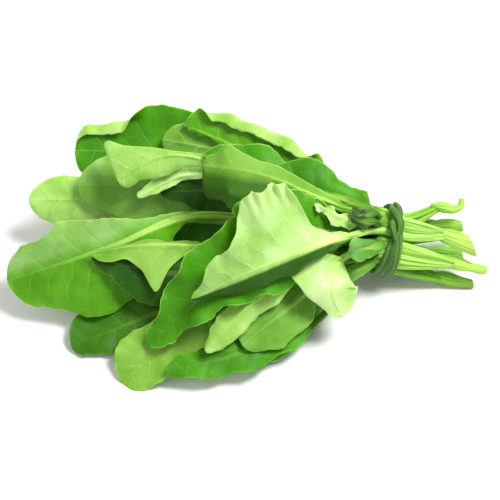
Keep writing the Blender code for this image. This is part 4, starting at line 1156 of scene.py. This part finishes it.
def add_leaf(maker, entry, push, sizes, chance):
    """Adds one fine leaf to its plant."""
    points, outer, inner, normal, marks = fine_leaf(entry, push, sizes, chance)
    rows, columns = outer.shape
    front = over_table(points + normal * outer[..., None])
    back = over_table(points - normal * inner[..., None])
    corners = np.vstack([front.reshape(-1, 3), back.reshape(-1, 3)])
    corners[:, 2] = np.maximum(corners[:, 2], 0.0)
    lightness = chance.uniform(*LIGHTNESS)
    toward_base = 1 + BASE_LIGHTER * (1 - marks["part"].reshape(-1, 1)) ** 3
    toward_edge = 1 + MARGIN_LIGHTER * marks["reach"].reshape(-1, 1) ** 4
    colours = np.array(TONES[entry["tone"]])[::-entry["under"]]
    is_upper = np.full(rows * columns, 0.0 if entry["under"] > 0 else 1.0)
    shown = {key: np.tile(values.ravel(), 2) for key, values in marks.items() if key in MARKS}
    shown["upper"] = np.concatenate([is_upper, 1 - is_upper])
    # Painted sheen: one half mixed toward a whitish colour, rising from the midrib outward, as light painted
    # into the tint
    sheen_half, amount = PAINTED_SHEEN.get(entry["name"], (0, 0.0))
    on_half = (marks["across"] > 0) == (sheen_half == 0)
    painted_sheen = (amount * on_half * ramp(np.abs(marks["across"]), 0, PAINTED_SHEEN_WIDTH)).reshape(-1, 1)
    shown["tint"] = np.vstack([(colour * (1 - painted_sheen) + np.array(PAINTED_SHEEN_COLOUR) * painted_sheen)
                               * lightness * toward_base * toward_edge for colour in colours])
    maker.add(corners, grid_faces(rows, columns), shown)


def add_tube(maker, skin, sides, first, last, seed, dim=1.0):
    """Adds a swept skin, such as a crown or a turn of the tie, its colour running from first to last and
    darkened by its painted shade.
    """
    points, triangles = skin
    number = np.arange(len(points))
    ring = number // sides
    share = (ring / ring[-1])[:, None] ** 3
    marks = {"across": np.abs(number % sides - sides / 2) * TUBE_ROUND / sides, "along": ring, "rib": 1.0,
             "reach": 0.0, "edge": TUBE_EDGE, "blade": 0.0, "upper": 0.0, "dim": dim,
             "veined": 1.0, "seed": seed}
    marks = {key: np.broadcast_to(values, number.shape) for key, values in marks.items()}
    marks["tint"] = (1 - share) * np.array(first) + share * np.array(last)
    maker.add(points, triangles, marks)


class SPINACH_OT_plants(bpy.types.Operator):
    """Make the six plants with their leaves, stalks and crowns"""

    bl_idname = "spinach.plants"
    bl_label = "Plants"

    def execute(self, context):
        sizes = chosen(context.scene.spinach_sizes)
        colours = chosen(context.scene.spinach_colours)
        finish = leaf_finish("spinach_leaf", colours)
        chance = np.random.default_rng(7)
        makers = {plant: PieceMaker() for plant in CROWNS}
        for entry, push in lay_leaves():
            add_leaf(makers[entry["plant"]], entry, push, sizes, chance)
        for number, (plant, maker) in enumerate(makers.items()):
            # Each crown carries its plant's painted shade
            add_tube(maker, crown_skin(plant, *CROWN_FINE), CROWN_FINE[1], colours["crown"], colours["cut"],
                     number, CROWN_DIM[plant])
            maker.make("leaves_" + plant, finish, "plant_" + plant, "plant_" + plant)
        return {"FINISHED"}


class SPINACH_OT_tie(bpy.types.Operator):
    """Make the strip tied round the neck"""

    bl_idname = "spinach.tie"
    bl_label = "Tie"

    def execute(self, context):
        maker = PieceMaker()
        colours = chosen(context.scene.spinach_colours)
        dark, light = colours["tie_dark"], colours["tie_light"]
        for number, turn in enumerate(BAND_TURNS):
            add_tube(maker, band_skin(*turn, *BAND_FINE), BAND_FINE[1], dark, light, number)
        for number, phase in enumerate(STRAND_PHASES, STRAND_SEED):
            add_tube(maker, strand_skin(phase, *STRAND_FINE), STRAND_FINE[1], dark, light, number)
        maker.make("tie_strip", tie_finish(colours), "tie", "tie")
        return {"FINISHED"}


# The camera looks square at the leaning plane
CAMERA_FAR = 1.033
CAMERA_LENS = 120.0
SENSOR = 36.0

# The table and the soft sky
TABLE_REACH = 6.0
TABLE_ROUGHNESS = 0.8
SKY_STRENGTH = 0.46

# Round lamps: name, place in metres, size and power
LIGHTS = (
    ("key", (0.55, -0.05, 1.15), 0.5, 18.0),
    ("fill", (-0.7, -0.7, 0.9), 1.2, 2.5),
    ("back", (0.2, 1.0, 0.8), 1.0, 4.0),
)


def put(name, data, spot, aim):
    """An object that looks from its spot at the aim."""
    holder = bpy.data.objects.new(name, data)
    bpy.context.scene.collection.objects.link(holder)
    holder.location = spot
    holder.rotation_euler = (aim - spot).to_track_quat("-Z", "Y").to_euler()
    return holder


class SPINACH_OT_stage(bpy.types.Operator):
    """Make the table, the lights and the camera"""

    bl_idname = "spinach.stage"
    bl_label = "Stage"

    def execute(self, context):
        scene = context.scene
        table = bpy.data.meshes.new("table")
        square = ((-1, -1), (1, -1), (1, 1), (-1, 1))
        table.from_pydata([(TABLE_REACH * x, TABLE_REACH * y, 0) for x, y in square], [], [(0, 1, 2, 3)])
        top = bpy.data.objects.new("table", table)
        scene.collection.objects.link(top)
        table.materials.append(Shader("pale_table").finish({
            "Base Color": opaque(scene.spinach_colours.table), "Roughness": TABLE_ROUGHNESS}))
        world = bpy.data.worlds.new("soft_sky")
        world.use_nodes = True
        sky = world.node_tree.nodes["Background"]
        sky.inputs["Color"].default_value = (1.0, 1.0, 1.0, 1.0)
        sky.inputs["Strength"].default_value = SKY_STRENGTH
        scene.world = world
        scene.view_settings.view_transform = "Standard"
        aim = Vector((np.array((0.0, 0.0, PLANE_HEIGHT)) - REST_SPOT) * METRES)
        for name, place, size, power in LIGHTS:
            lamp = bpy.data.lights.new(name, "AREA")
            lamp.shape = "DISK"
            lamp.size = size
            lamp.energy = power
            put(name, lamp, Vector(place), aim)
        camera = bpy.data.cameras.new("camera")
        camera.lens = CAMERA_LENS
        camera.sensor_width = SENSOR
        scene.camera = put("camera", camera, aim + Vector(OUT) * CAMERA_FAR, aim)
        return {"FINISHED"}


class SPINACH_PT_panel(bpy.types.Panel):
    """Sizes, colours and pieces of the bunch"""

    bl_idname = "SPINACH_PT_panel"
    bl_label = "Spinach"
    bl_space_type = "VIEW_3D"
    bl_region_type = "UI"
    bl_category = "Spinach"

    def draw(self, context):
        layout = self.layout
        for group in (context.scene.spinach_sizes, context.scene.spinach_colours):
            column = layout.column()
            for name in type(group).__annotations__:
                column.prop(group, name)
        for operator in OPERATORS:
            layout.operator(operator.bl_idname)


OPERATORS = (SPINACH_OT_plants, SPINACH_OT_tie, SPINACH_OT_stage)
CLASSES = (SpinachSizes, SpinachColours, *OPERATORS, SPINACH_PT_panel)


def register():
    """Adds the classes and the scene's sizes and colours."""
    for kind in CLASSES:
        bpy.utils.register_class(kind)
    bpy.types.Scene.spinach_sizes = PointerProperty(type=SpinachSizes)
    bpy.types.Scene.spinach_colours = PointerProperty(type=SpinachColours)


def unregister():
    """Takes them away again."""
    del bpy.types.Scene.spinach_colours
    del bpy.types.Scene.spinach_sizes
    for kind in reversed(CLASSES):
        bpy.utils.unregister_class(kind)


def main():
    """Makes every piece."""
    register()
    bpy.ops.spinach.stage()
    bpy.ops.spinach.plants()
    bpy.ops.spinach.tie()


if __name__ == "__main__":
    main()
